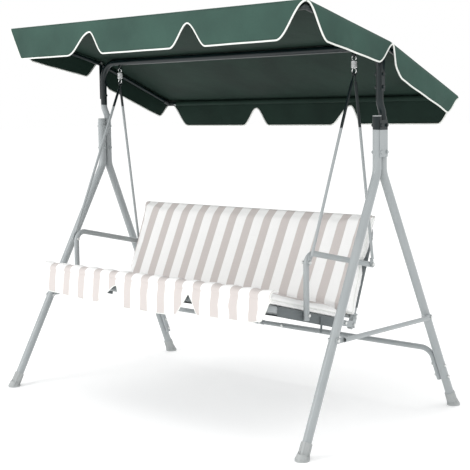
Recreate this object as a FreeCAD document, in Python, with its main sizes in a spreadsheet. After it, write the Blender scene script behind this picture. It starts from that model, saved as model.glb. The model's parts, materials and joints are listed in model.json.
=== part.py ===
"""Canopy swing bench: steel A-frames, a sprung hanging seat with cushions, and a tilting canopy.

Millimetres. X runs across the bench, +Y to its back and +Z up, with the origin on the ground
at the centre of the four feet. Bought-in sizes, tube sizes and the main heights are cells of the
sheet "Dims"; every sub-part takes its section from them and its place from the points below.
"""
import FreeCAD, Part

import math
import os

import Sketcher

V = FreeCAD.Vector
DIMS = {
    # standing frame
    "foot_half_width": 940.5, "foot_half_depth": 550, "apex_back": 46,
    "knee_half_width": 885.5, "knee_height": 1100, "head_height": 1335,
    "leg_diameter": 38, "leg_wall": 2, "leg_bend": 110, "leg_spacing": 38.4,
    "cap_base_diameter": 60, "cap_base_thickness": 8,
    "cap_sleeve_diameter": 43, "cap_sleeve_length": 72,
    "crossbar_height": 1625, "crossbar_diameter": 32, "crossbar_wall": 1.5,
    "crossbar_bend": 90, "spigot_bend": 40,
    "head_plate_width": 54, "head_plate_height": 155, "head_plate_thickness": 3,
    "brace_height": 440, "brace_diameter": 20, "brace_wall": 1.2,
    "flat_end_width": 24, "flat_end_thickness": 3.5, "flat_end_length": 34,
    "rear_bar_height": 280, "rear_bar_diameter": 25, "rear_bar_wall": 1.5, "rear_bar_bend": 50,
    "joiner_diameter": 21.6,
    # fasteners
    "bolt_diameter": 8, "bolt_hole": 8.4, "bolt_head_radius": 7.5, "bolt_head_thickness": 5.3,
    "pivot_hole": 8.1,
    # hanging gear
    "hook_half_width": 753, "eye_radius": 10, "eye_wire": 3.5,
    "spring_diameter": 28, "spring_bore": 19, "spring_coil_length": 32, "spring_loop_radius": 11,
    "spring_wire": 2.5, "ring_radius": 8.5, "ring_wire": 2.5,
    "hanger_diameter": 13, "hanger_wall": 1.2, "hanger_flat_thickness": 3.2, "hanger_flat_width": 21,
    # seat
    "seat_tilt": 15.14, "seat_rear_height": 441, "seat_depth": 500, "rail_half_width": 716,
    "rail_diameter": 28, "rail_wall": 1.5, "rail_bend": 42,
    "arm_diameter": 25, "arm_wall": 1.5, "arm_bend": 46,
    "arm_half_width": 746, "arm_rear_half_width": 745,
    "arm_forward": 279, "arm_corner_height": 782,
    "hanger_bolt_height": 738, "hanger_bolt_up_back": 260,
    "back_tilt": 21.13, "back_foot_back": 30, "back_foot_height": 455, "back_half_width": 717.5,
    "back_tube_behind": 41, "back_tube_top": 446, "back_joint_height": 372, "back_tube_foot": -34,
    "back_tube_diameter": 25, "back_tube_wall": 1.5, "back_bend": 60,
    "bracket_thickness": 3.6, "sling_thickness": 3,
    "seat_cushion_half_width": 720, "seat_cushion_depth": 500, "seat_cushion_thickness": 48,
    "back_cushion_half_width": 728, "back_cushion_height": 472, "back_cushion_thickness": 50,
    "flap_thickness": 8,
    # canopy
    "canopy_tube_diameter": 20, "canopy_tube_wall": 1.2, "canopy_tube_half_width": 915, "canopy_bend": 150,
    "canopy_front_forward": 460, "canopy_front_height": 1755, "canopy_rear_back": 534,
    "canopy_rear_height": 1419, "canopy_corner_reach": 16,
    "roof_half_width": 934, "roof_thickness": 2, "roof_clearance": 16.5, "roof_overhang": 40,
    "valance_thickness": 2, "elbow_diameter": 26, "elbow_length": 44,
}

doc = FreeCAD.newDocument("CanopySwingBench")
sheet = doc.addObject("Spreadsheet::Sheet", "Dims")
for row, (alias, number) in enumerate(DIMS.items(), start=1):
    sheet.set(f"A{row}", alias)
    sheet.set(f"B{row}", str(number))
    sheet.setAlias(f"B{row}", alias)
doc.recompute()

pieces = {}
drillings = {}
bolt_groups = {}


def dim(alias):
    """A driving dimension, read from the sheet."""
    return float(sheet.get(alias))


def bind(thing, prop, value):
    """Set a property to a plain number, or tie it to an expression in the sheet's names."""
    if isinstance(value, str):
        thing.setExpression(prop, value)
    else:
        setattr(thing, prop, value)


def sides():
    """Left then right, as the names and the signs that X takes."""
    return (("left", -1), ("right", 1))


# ---------------------------------------------------------------- solids
def origin_plane(body, role):
    return next(f for f in body.Origin.OriginFeatures if f.Role == role)


def sketch_on(body, name, role):
    sketch = body.newObject("Sketcher::SketchObject", name)
    sketch.AttachmentSupport = [(origin_plane(body, role), "")]
    sketch.MapMode = "FlatFace"
    return sketch


def add_circle(sketch, diameter):
    """A circle on the sketch's own origin, its diameter tied to the sheet."""
    index = sketch.addGeometry(Part.Circle(V(0, 0, 0), V(0, 0, 1), 10), False)
    sketch.addConstraint(Sketcher.Constraint("Coincident", index, 3, -1, 1))
    size = sketch.addConstraint(Sketcher.Constraint("Diameter", index, 20))
    sketch.setExpression(f"Constraints[{size}]", diameter)


def add_outline(sketch, points):
    """A closed outline of straight sides."""
    corners = [V(x, y, 0) for x, y in points]
    for start, end in zip(corners, corners[1:] + corners[:1]):
        sketch.addGeometry(Part.LineSegment(start, end), False)


def add_bent_path(sketch, points, bend):
    """Straight runs with a tangent arc of the bend radius at each inner point."""
    corners = [V(x, y, 0) for x, y in points]
    start = corners[0]
    edges = []
    for before, corner, after in zip(corners, corners[1:], corners[2:]):
        inward = (corner - before).normalize()
        outward = (after - corner).normalize()
        turn = inward.getAngle(outward)
        reach = bend * math.tan(turn / 2)
        middle = corner + (outward - inward).normalize() * (bend / math.cos(turn / 2) - bend)
        arc_start = corner - inward * reach
        arc_end = corner + outward * reach
        edges.append(Part.LineSegment(start, arc_start))
        edges.append(Part.Arc(arc_start, middle, arc_end))
        start = arc_end
    edges.append(Part.LineSegment(start, corners[-1]))
    for edge in edges:
        sketch.addGeometry(edge, False)
    return [f"Edge{number}" for number in range(1, len(edges) + 1)]


def tube(label, points, diameter, wall, bend=None):
    """A round tube whose centre line joins points that lie in one plane."""
    start = V(*points[0])
    runs = [V(*point) - start for point in points]
    along = V(runs[1]).normalize()
    across = along.cross(runs[-1]) if len(points) > 2 else along.cross(V(0, 1, 0))
    if across.Length < 1e-6:
        across = along.cross(V(1, 0, 0))
    normal = V(across).normalize()
    side = normal.cross(along)
    body = doc.addObject("PartDesign::Body", label)
    profile = sketch_on(body, f"{label}_section", "YZ_Plane")
    add_circle(profile, f"Dims.{diameter}")
    add_circle(profile, f"Dims.{diameter} - 2 * Dims.{wall}")
    if len(points) == 2:
        pad = body.newObject("PartDesign::Pad", f"{label}_length")
        pad.Profile = profile
        pad.Length = runs[1].Length
    else:
        path = sketch_on(body, f"{label}_path", "XY_Plane")
        edges = add_bent_path(path, [(run.dot(along), run.dot(side)) for run in runs], dim(bend))
        sweep = body.newObject("PartDesign::AdditivePipe", f"{label}_sweep")
        sweep.Profile = profile
        sweep.Spine = (path, edges)
    body.Placement = FreeCAD.Placement(start, FreeCAD.Rotation(along, side, normal, "XYZ"))
    return keep(label, body)


def slab(label, outline, role, start, end):
    """An outline padded along its plane's normal, from one distance to another (XZ_Plane faces -Y)."""
    body = doc.addObject("PartDesign::Body", label)
    sketch = sketch_on(body, f"{label}_outline", role)
    add_outline(sketch, outline)
    pad = body.newObject("PartDesign::Pad", f"{label}_thickness")
    pad.Profile = sketch
    pad.Length = end - start
    normal = {"YZ_Plane": V(1, 0, 0), "XZ_Plane": V(0, -1, 0), "XY_Plane": V(0, 0, 1)}[role]
    body.Placement = FreeCAD.Placement(normal * start, FreeCAD.Rotation())
    return keep(label, body)


def rod(name, start, end, radius):
    """A plain cylinder from one point to another."""
    solid = doc.addObject("Part::Cylinder", name)
    direction = V(*end) - V(*start)
    bind(solid, "Radius", radius)
    solid.Height = direction.Length
    solid.Placement = FreeCAD.Placement(V(*start), FreeCAD.Rotation(V(0, 0, 1), direction))
    return solid


def ring(name, centre, axis, radius, wire):
    """A round wire ring about an axis."""
    solid = doc.addObject("Part::Torus", name)
    bind(solid, "Radius1", radius)
    bind(solid, "Radius2", wire)
    solid.Placement = FreeCAD.Placement(V(*centre), FreeCAD.Rotation(V(0, 0, 1), V(*axis)))
    return solid


def block(name, low, high, placement=None):
    """A box between two corners, then moved by a placement."""
    solid = doc.addObject("Part::Box", name)
    solid.Length, solid.Width, solid.Height = (b - a for a, b in zip(low, high))
    own = FreeCAD.Placement(V(*low), FreeCAD.Rotation())
    solid.Placement = placement.multiply(own) if placement else own
    return solid


def fuse(name, solids):
    joined = doc.addObject("Part::MultiFuse", name)
    joined.Shapes = solids
    joined.Refine = True
    return joined


def cut(name, base, tools):
    tool = tools[0] if len(tools) == 1 else fuse(f"{name}_holes", tools)
    result = doc.addObject("Part::Cut", name)
    result.Base = base
    result.Tool = tool
    return result


def plug(name, end, way, radius, wall):
    """A moulded plug in a tube's open end: a thin lid outside and a stem inside."""
    return fuse(name, [rod(f"{name}_lid", tuple(end + way * 0.2), tuple(end + way * 4), radius - 0.4),
                       rod(f"{name}_stem", tuple(end - way * 12), tuple(end + way), radius - wall - 0.3)])


def keep(label, solid):
    """Note a finished sub-part under its node name."""
    pieces[label] = solid
    return solid


def group(label, solids):
    """Several alike solids that share one node."""
    compound = doc.addObject("Part::Compound", label)
    compound.Links = solids
    return keep(label, compound)


def drill(label, start, end, hole="bolt_hole"):
    """Ask for a straight hole through a sub-part, cut once every sub-part is made."""
    drillings.setdefault(label, []).append((start, end, hole))


def bolt(node, start, end, through, hole="bolt_hole"):
    """A hexagon bolt whose head sits at the start and whose nut sits at the end."""
    count = len(bolt_groups.setdefault(node, []))
    direction = (V(*end) - V(*start)).normalize()
    turn = FreeCAD.Rotation(V(0, 0, 1), direction)
    thickness = dim("bolt_head_thickness")
    parts = [rod(f"{node}_{count}_shank", tuple(V(*start) - direction), tuple(V(*end) + direction),
                 "Dims.bolt_diameter / 2")]
    for name, base in (("head", V(*start) - direction * thickness), ("nut", V(*end))):
        prism = doc.addObject("Part::Prism", f"{node}_{count}_{name}")
        prism.Polygon = 6
        bind(prism, "Circumradius", "Dims.bolt_head_radius")
        bind(prism, "Height", "Dims.bolt_head_thickness")
        prism.Placement = FreeCAD.Placement(base, turn)
        parts.append(prism)
    bolt_groups[node].append(fuse(f"{node}_{count}", parts))
    for label in through:
        drill(label, start, end, hole)


# ---------------------------------------------------------------- reference points
APEX = dim("apex_back")
HALF_GAP = dim("leg_spacing") / 2
KNEE_X = dim("knee_half_width")
BAR_Z = dim("crossbar_height")
LEG_R = dim("leg_diameter") / 2
SPIGOT_TOP, SPIGOT_SET_BACK, SPIGOT_FOOT = 1395, 1353, 1215
ENDS = {"front": -1, "rear": 1}


def foot_point(sign_x, sign_y):
    return (sign_x * dim("foot_half_width"), sign_y * dim("foot_half_depth"), 0)


def knee_point(sign_x, sign_y):
    return (sign_x * KNEE_X, APEX + sign_y * HALF_GAP, dim("knee_height"))


def on_leg(sign_x, sign_y, height):
    """The point of a leg's sloping centre line at a height."""
    foot, knee = V(*foot_point(sign_x, sign_y)), V(*knee_point(sign_x, sign_y))
    return foot + (knee - foot) * (height / dim("knee_height"))


# the seat's and the backrest's own frames: y runs to the back, z out of the surface or up it
SEAT = FreeCAD.Placement(V(0, 0, dim("seat_rear_height")), FreeCAD.Rotation(V(1, 0, 0), -dim("seat_tilt")))
BACK = FreeCAD.Placement(V(0, dim("back_foot_back"), dim("back_foot_height")),
                         FreeCAD.Rotation(V(1, 0, 0), -dim("back_tilt")))


def on_seat(across, forward, above):
    return tuple(SEAT.multVec(V(across, -forward, above)))


def on_back(across, behind, up):
    return tuple(BACK.multVec(V(across, behind, up)))


# ---------------------------------------------------------------- standing frame
def build_legs():
    """Four legs, each one tube with a knee, that pair up side by side in the A-frame's head."""
    for side, sign_x in sides():
        for end, sign_y in ENDS.items():
            foot, knee = V(*foot_point(sign_x, sign_y)), V(*knee_point(sign_x, sign_y))
            up = (knee - foot).normalize()
            path = [tuple(foot + up * 22), tuple(knee), (knee.x, knee.y, dim("head_height"))]
            tube(f"{end}_leg_{side}", path, "leg_diameter", "leg_wall", "leg_bend")


def build_feet():
    """A moulded cap on each leg: a sleeve along the tube and a round base flat on the ground."""
    base_r = dim("cap_base_diameter") / 2
    for side, sign_x in sides():
        for end, sign_y in ENDS.items():
            name = f"foot_cap_{end}_{side}"
            foot = V(*foot_point(sign_x, sign_y))
            up = (V(*knee_point(sign_x, sign_y)) - foot).normalize()
            sleeve = rod(f"{name}_sleeve", tuple(foot - up * 20), tuple(foot + up * dim("cap_sleeve_length")),
                         "Dims.cap_sleeve_diameter / 2")
            disc = rod(f"{name}_disc", tuple(foot), (foot.x, foot.y, dim("cap_base_thickness")),
                       "Dims.cap_base_diameter / 2")
            flare = doc.addObject("Part::Cone", f"{name}_flare")
            flare.Radius1, flare.Radius2, flare.Height = base_r - 1, 18, 22
            flare.Placement = FreeCAD.Placement(V(foot.x, foot.y, dim("cap_base_thickness") - 1),
                                                FreeCAD.Rotation())
            bore = rod(f"{name}_bore", tuple(foot + up * 21.5), tuple(foot + up * 120),
                       "Dims.leg_diameter / 2 + 0.1")
            ground = block(f"{name}_ground", (foot.x - 60, foot.y - 60, -60),
                           (foot.x + 60, foot.y + 60, 0))
            keep(name, cut(name, fuse(f"{name}_solid", [sleeve, disc, flare]), [bore, ground]))


def build_head():
    """Plugs in the front tubes, and the outer plate and bolts that hold each pair of tubes together."""
    top = dim("head_height")
    thickness = dim("head_plate_thickness")
    plate_low, plate_high = top - 15 - dim("head_plate_height"), top - 15
    front_y, rear_y = APEX - HALF_GAP, APEX + HALF_GAP
    group("leg_plugs", [plug(f"leg_plug_{side}", V(sign_x * KNEE_X, front_y, top), V(0, 0, 1), LEG_R,
                             dim("leg_wall")) for side, sign_x in sides()])
    half = dim("head_plate_width") / 2
    for side, sign_x in sides():
        near, far = sorted((sign_x * (KNEE_X + LEG_R + 0.2), sign_x * (KNEE_X + LEG_R + 0.2 + thickness)))
        keep(f"head_plate_{side}", block(f"head_plate_{side}", (near, APEX - half, plate_low),
                                         (far, APEX + half, plate_high)))
        for height in (plate_low + 20, plate_high - 22):
            for end, y in (("front", front_y), ("rear", rear_y)):
                through = [f"{end}_leg_{side}", f"head_plate_{side}"]
                if end == "rear" and height > SPIGOT_FOOT:
                    through.append("top_crossbar")
                bolt("head_bolts", (sign_x * (KNEE_X + LEG_R + 0.3 + thickness), y, height),
                     (sign_x * (KNEE_X - LEG_R - 0.3), y, height), through)


def build_crossbar():
    """One tube over the top: bent down at both ends, then set back to drop into the rear legs."""
    end_z, offset = SPIGOT_TOP + 15, APEX + HALF_GAP
    path = [(-KNEE_X, APEX, end_z), (-KNEE_X, APEX, BAR_Z), (KNEE_X, APEX, BAR_Z), (KNEE_X, APEX, end_z)]
    spans = [tube("crossbar_span", path, "crossbar_diameter", "crossbar_wall", "crossbar_bend")]
    for side, sign_x in sides():
        x = sign_x * KNEE_X
        path = [(x, APEX, end_z), (x, APEX, SPIGOT_TOP),
                (x, offset, SPIGOT_SET_BACK), (x, offset, SPIGOT_FOOT)]
        spans.append(tube(f"crossbar_spigot_{side}", path,
                          "crossbar_diameter", "crossbar_wall", "spigot_bend"))
    for name in ("crossbar_span", "crossbar_spigot_left", "crossbar_spigot_right"):
        pieces.pop(name)
    keep("top_crossbar", fuse("top_crossbar", spans))
    eye_z = BAR_Z - dim("crossbar_diameter") / 2 - dim("eye_radius")
    hook = dim("hook_half_width")
    group("hanger_eyes", [ring(f"hanger_eye_{side}", (sign_x * hook, APEX, eye_z), (1, 0, 0),
                               "Dims.eye_radius", "Dims.eye_wire") for side, sign_x in sides()])


def flat_ended_bar(name, start, end):
    """A brace: a round tube whose last stretch at each end is pressed flat and rounded off."""
    direction = (V(*end) - V(*start)).normalize()
    inset = direction * dim("flat_end_length")
    outward = V(math.copysign(1, start[0]), 0, 0)
    centre = outward * (dim("brace_diameter") / 2 - dim("flat_end_thickness") / 2)
    body = tube(f"{name}_tube", [tuple(V(*start) + inset + centre), tuple(V(*end) - inset + centre)],
                "brace_diameter", "brace_wall")
    pieces.pop(f"{name}_tube")
    parts = [body]
    half_t, half_w = dim("flat_end_thickness") / 2, dim("flat_end_width") / 2
    for number, (tip, inner) in enumerate(((V(*start), V(*start) + inset), (V(*end), V(*end) - inset))):
        parts.append(rod(f"{name}_tip_{number}", tuple(tip - outward * half_t),
                         tuple(tip + outward * half_t), "Dims.flat_end_width / 2"))
        low_y, high_y = sorted((tip.y, inner.y + math.copysign(8, inner.y - tip.y)))
        parts.append(block(f"{name}_flat_{number}", (tip.x - half_t, low_y, tip.z - half_w),
                           (tip.x + half_t, high_y, tip.z + half_w)))
    return keep(name, fuse(name, parts))


def build_braces():
    """A front-to-back brace on the outer face of each A-frame."""
    height = dim("brace_height")
    for side, sign_x in sides():
        front, rear = on_leg(sign_x, -1, height), on_leg(sign_x, 1, height)
        x = front.x + sign_x * (LEG_R + 0.6 + dim("flat_end_thickness") / 2)
        flat_ended_bar(f"side_brace_{side}", (x, front.y, height), (x, rear.y, height))
        for end, place in (("front", front), ("rear", rear)):
            outer = abs(x) + dim("flat_end_thickness") / 2 + 0.2
            bolt("lower_frame_bolts", (sign_x * outer, place.y, height),
                 (place.x - sign_x * (LEG_R + 0.8), place.y, height),
                 [f"{end}_leg_{side}", f"side_brace_{side}"])


def build_rear_bar():
    """The low bar between the rear legs: two halves, a joiner tube, and ends bent down the legs."""
    height, radius = dim("rear_bar_height"), dim("rear_bar_diameter") / 2
    halves = {"left": -115, "right": 2}
    for side, sign_x in sides():
        leg = on_leg(sign_x, 1, height)
        down = (V(*foot_point(sign_x, 1)) - V(*knee_point(sign_x, 1))).normalize()
        inset = sign_x * (LEG_R + radius + 0.6)
        corner = V(leg.x - inset, leg.y, height)
        tip = corner + down * 165
        tube(f"rear_bar_{side}", [(halves[side], leg.y, height), tuple(corner), tuple(tip)],
             "rear_bar_diameter", "rear_bar_wall", "rear_bar_bend")
        for distance in (85, 145):
            place = corner + down * distance
            bolt("lower_frame_bolts", (place.x - sign_x * (radius + 0.4), place.y, place.z),
                 (place.x + inset + sign_x * (LEG_R + 0.8), place.y, place.z),
                 [f"rear_leg_{side}", f"rear_bar_{side}"])
    y = on_leg(1, 1, height).y
    tube("rear_bar_joiner", [(-175, y, height), (62, y, height)], "joiner_diameter", "rear_bar_wall")
    for x, side in ((-133, "left"), (18, "right")):
        bolt("lower_frame_bolts", (x, y - radius - 0.3, height), (x, y + radius + 0.3, height),
             [f"rear_bar_{side}", "rear_bar_joiner"])


# ---------------------------------------------------------------- canopy
# the side tubes' centre line: front corner, pivot and rear corner
CANOPY_FRONT = V(0, -dim("canopy_front_forward"), dim("canopy_front_height"))
PIVOT = V(0, APEX, BAR_Z)
CANOPY_REAR = V(0, dim("canopy_rear_back"), dim("canopy_rear_height"))


def above_side_tube(height):
    """The roof's side line at a height over the side tube, from its front edge to its rear, as (y, z)."""
    front_way = (CANOPY_FRONT - PIVOT).normalize()
    rear_way = (CANOPY_REAR - PIVOT).normalize()
    front_up = V(0, front_way.z, -front_way.y)
    rear_up = V(0, -rear_way.z, rear_way.y)
    ridge_up = (front_up + rear_up).normalize()
    overhang = dim("roof_overhang")
    places = [CANOPY_FRONT + front_way * overhang + front_up * height,
              PIVOT + ridge_up * (height / front_up.dot(ridge_up)),
              CANOPY_REAR + rear_way * overhang + rear_up * height]
    return [(place.y, place.z) for place in places]


def build_canopy_frame():
    """Brackets on the posts, the tilting tube frame with its corner elbows, and the pivot bolts."""
    x = dim("canopy_tube_half_width")
    half = dim("canopy_tube_diameter") / 2
    post_face = KNEE_X + dim("crossbar_diameter") / 2
    elbows = []
    for side, sign_x in sides():
        near, far = sign_x * (post_face + 0.2), sign_x * (post_face + 2.8)
        keep(f"canopy_bracket_{side}", block(f"canopy_bracket_{side}", (min(near, far), APEX - 11, 1440),
                                             (max(near, far), APEX + 11, BAR_Z + 11)))
        for height in (1458, 1512):
            bolt("head_bolts", (far + sign_x * 0.2, APEX, height),
                 (sign_x * (KNEE_X - dim("crossbar_diameter") / 2 - 0.2), APEX, height),
                 [f"canopy_bracket_{side}", "top_crossbar"])
        path = [(sign_x * x, place.y, place.z) for place in (CANOPY_FRONT, PIVOT, CANOPY_REAR)]
        tube(f"canopy_side_tube_{side}", path, "canopy_tube_diameter", "canopy_tube_wall", "canopy_bend")
        bolt("canopy_pivot_bolts", (sign_x * (x + half + 0.2), APEX, BAR_Z),
             (sign_x * (post_face - 0.2), APEX, BAR_Z), [f"canopy_side_tube_{side}"])
        drill(f"canopy_bracket_{side}", (sign_x * (x + half), APEX, BAR_Z),
              (sign_x * (post_face - 9), APEX, BAR_Z), "pivot_hole")
        for end, corner in (("front", CANOPY_FRONT), ("rear", CANOPY_REAR)):
            elbows.append(build_elbow(f"elbow_{end}_{side}", sign_x, corner))
    reach = dim("canopy_corner_reach")
    for end, corner in (("front", CANOPY_FRONT), ("rear", CANOPY_REAR)):
        place = corner + (corner - PIVOT).normalize() * reach
        tube(f"canopy_{end}_tube", [(-x + reach, place.y, place.z), (x - reach, place.y, place.z)],
             "canopy_tube_diameter", "canopy_tube_wall")
    group("canopy_elbows", elbows)


def build_elbow(name, sign_x, corner):
    """A moulded corner that a side tube and a cross tube plug into."""
    line = (corner - PIVOT).normalize()
    x = sign_x * dim("canopy_tube_half_width")
    centre = V(x, corner.y, corner.z) + line * dim("canopy_corner_reach")
    inward = V(-sign_x, 0, 0)
    length = dim("elbow_length")
    ball = doc.addObject("Part::Sphere", f"{name}_ball")
    bind(ball, "Radius", "Dims.elbow_diameter / 2")
    ball.Placement = FreeCAD.Placement(centre, FreeCAD.Rotation())
    arms = [ball]
    sockets = []
    for number, way in enumerate((line * -1, inward)):
        arms.append(rod(f"{name}_arm_{number}", tuple(centre), tuple(centre + way * length),
                        "Dims.elbow_diameter / 2"))
        sockets.append(rod(f"{name}_socket_{number}", tuple(centre + way * 15.5),
                           tuple(centre + way * (length + 5)), "Dims.canopy_tube_diameter / 2 + 0.1"))
    return cut(name, fuse(f"{name}_solid", arms), sockets)


def build_canopy_fabric():
    """The roof sheet over the crossbar, and the four scalloped valances under its edges."""
    half = dim("roof_half_width")
    thickness = dim("valance_thickness")
    under = above_side_tube(dim("roof_clearance"))
    over = above_side_tube(dim("roof_clearance") + dim("roof_thickness"))
    slab("canopy_roof", over + under[::-1], "YZ_Plane", -half, half)
    (front_y, front_z), (ridge_y, ridge_z), (rear_y, rear_z) = under
    edge = half - 4
    hem, peak = 1634, 1732
    front_right = [(245, hem), (315, peak), (390, hem), (795, hem), (850, 1676), (894, 1727),
                   (edge, front_z - 11)]
    slab("front_valance", valance_outline(front_right, front_z - 1, edge), "XZ_Plane",
         -front_y - 0.6 - thickness, -front_y - 0.6)
    hem, peak = 1290, 1380
    rear_right = [(240, hem), (312, peak), (385, hem), (820, hem), (868, 1311), (905, 1350),
                  (edge, rear_z - 9)]
    slab("rear_valance", valance_outline(rear_right, rear_z - 0.6, edge), "XZ_Plane",
         -rear_y + 2.4, -rear_y + 2.4 + thickness)
    side_top = [(front_y + 4, front_z - 2.4), (ridge_y, ridge_z - 0.6), (rear_y - 4, rear_z + 0.6)]
    rear_panel = [(rear_y - 4, rear_z - 26), (525, 1338), (225, 1455), (128, 1494), (88, 1530), (78, 1590)]
    notch = [(APEX + 14, 1622)]
    front_panel = [(40, 1606), (4, 1573), (-38, 1560), (-289, 1611), (-365, 1628), (-420, 1676), (-458, 1738)]
    for side, sign_x in sides():
        low, high = sorted((sign_x * (half + 0.4), sign_x * (half + 0.4 + thickness)))
        slab(f"{side}_valance", side_top + rear_panel + notch + front_panel, "YZ_Plane", low, high)


def valance_outline(half_points, top, edge):
    """A valance's outline from the lower edge of its right half."""
    lower = [(-x, z) for x, z in reversed(half_points)] + half_points
    return lower + [(edge, top), (-edge, top)]


# ---------------------------------------------------------------- hanging gear
def build_springs():
    """A tension spring under each eye, as a sleeve of its coil's size between two wire loops."""
    eye_z = BAR_Z - dim("crossbar_diameter") / 2 - dim("eye_radius")
    inside_eye = eye_z - dim("eye_radius") + dim("eye_wire")
    loop_z = inside_eye + dim("spring_wire") + 0.3 - dim("spring_loop_radius")
    coil_top = loop_z - dim("spring_loop_radius")
    coil_end = coil_top - dim("spring_coil_length")
    for side, sign_x in sides():
        x = sign_x * dim("hook_half_width")
        name = f"spring_{side}"
        outer = rod(f"{name}_coil", (x, APEX, coil_end), (x, APEX, coil_top), "Dims.spring_diameter / 2")
        bore = rod(f"{name}_bore", (x, APEX, coil_end + 3), (x, APEX, coil_top - 3), "Dims.spring_bore / 2")
        loops = [ring(f"{name}_loop_{n}", (x, APEX, z), (0, 1, 0),
                      "Dims.spring_loop_radius", "Dims.spring_wire")
                 for n, z in enumerate((loop_z, coil_end - dim("spring_loop_radius")))]
        keep(name, fuse(name, [cut(f"{name}_hollow", outer, [bore])] + loops))
    return coil_end - dim("spring_loop_radius")


def build_hanger(name, top, bottom, outward):
    """A hanger: a wire ring, a round tube, and an end pressed flat against the tube's inner side."""
    set_out = 5.2
    tail = V(*bottom) + V(outward * set_out, 0, 0)
    axis = (tail - V(*top)).normalize()
    neck = V(*top) + axis * dim("ring_radius")
    tube_start = V(*top) + axis * (dim("ring_radius") + 26)
    tube_end = tail - axis * 26
    body = tube(f"{name}_tube", [tuple(tube_start), tuple(tube_end)], "hanger_diameter", "hanger_wall")
    pieces.pop(f"{name}_tube")
    half_t, half_w = dim("hanger_flat_thickness") / 2, dim("hanger_flat_width") / 2
    frame = FreeCAD.Placement(V(*bottom), FreeCAD.Rotation(V(1, 0, 0), V(0, 0, 0), axis * -1, "ZXY"))
    parts = [
        ring(f"{name}_ring", top, (1, 0, 0), "Dims.ring_radius", "Dims.ring_wire"),
        rod(f"{name}_neck", tuple(neck), tuple(tube_start + axis * 12), 2.7),
        rod(f"{name}_shoulder", tuple(tube_start), tuple(tube_start + axis * 6),
            "Dims.hanger_diameter / 2 - 0.4"),
        body,
        rod(f"{name}_end_cap", tuple(tube_end - axis * 6), tuple(tube_end),
            "Dims.hanger_diameter / 2 - 0.4"),
        block(f"{name}_flat", (-half_t, -half_w, 0), (half_t, half_w, 31), frame),
        rod(f"{name}_tip", tuple(V(*bottom) - V(half_t, 0, 0)), tuple(V(*bottom) + V(half_t, 0, 0)), half_w),
    ]
    return keep(name, fuse(name, parts))


def build_hangers(loop_z):
    """Two hangers a side, spread in a V from the spring's lower loop to the arm's two ends."""
    top_z = loop_z - 5.0 - dim("ring_radius")
    arm_r = dim("arm_diameter") / 2
    for side, sign_x in sides():
        hook = sign_x * dim("hook_half_width")
        front_x = sign_x * (dim("arm_half_width") + arm_r + 3.5)
        rear_x = sign_x * (dim("arm_rear_half_width") + arm_r + 3.5)
        build_hanger(f"front_hanger_{side}", (hook - sign_x * 2.8, APEX, top_z),
                     (front_x, ARM_Y, FRONT_BOLT_Z), sign_x)
        build_hanger(f"rear_hanger_{side}", (hook + sign_x * 2.8, APEX, top_z),
                     (rear_x, REAR_BOLT.y, REAR_BOLT.z), sign_x)
        bolt("arm_bolts", (front_x + sign_x * 2.4, ARM_Y, FRONT_BOLT_Z),
             (sign_x * (dim("arm_half_width") - arm_r - 0.3), ARM_Y, FRONT_BOLT_Z),
             [f"front_hanger_{side}", f"arm_{side}"])
        inner = dim("back_half_width") - dim("back_tube_diameter") / 2 - 0.3
        bolt("arm_bolts", (rear_x + sign_x * 2.4, REAR_BOLT.y, REAR_BOLT.z),
             (sign_x * inner, REAR_BOLT.y, REAR_BOLT.z),
             [f"rear_hanger_{side}", f"arm_{side}", f"back_tube_{side}"])


# ---------------------------------------------------------------- seat
BEHIND = dim("back_tube_behind")
ARM_Y = -dim("arm_forward")
FRONT_BOLT_Z = dim("hanger_bolt_height")
REAR_BOLT = V(*on_back(0, BEHIND, dim("hanger_bolt_up_back")))


def build_arms():
    """One bent tube a side: up from the seat rail, then back to the backrest, with a plug behind."""
    x, rear_x = dim("arm_half_width"), dim("arm_rear_half_width")
    corner = V(x, ARM_Y, dim("arm_corner_height"))
    bolt_place = V(rear_x, REAR_BOLT.y, REAR_BOLT.z)
    line = (bolt_place - corner).normalize()
    end = bolt_place + line * 22
    plugs = []
    for side, sign_x in sides():
        points = [(sign_x * x, ARM_Y, 494), (sign_x * corner.x, corner.y, corner.z),
                  (sign_x * end.x, end.y, end.z)]
        tube(f"arm_{side}", points, "arm_diameter", "arm_wall", "arm_bend")
        plugs.append(plug(f"arm_plug_{side}", V(*points[-1]), V(sign_x * line.x, line.y, line.z),
                          dim("arm_diameter") / 2, dim("arm_wall")))
        rail_bolt = V(*on_seat(sign_x * x, -ARM_Y / math.cos(math.radians(dim("seat_tilt"))), 0))
        bolt("arm_bolts", (rail_bolt.x + sign_x * 12.8, rail_bolt.y, rail_bolt.z),
             (sign_x * (dim("rail_half_width") - dim("rail_diameter") / 2 - 0.3), rail_bolt.y, rail_bolt.z),
             [f"arm_{side}", f"seat_rail_{side}", "seat_sling"])
    return plugs


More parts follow.
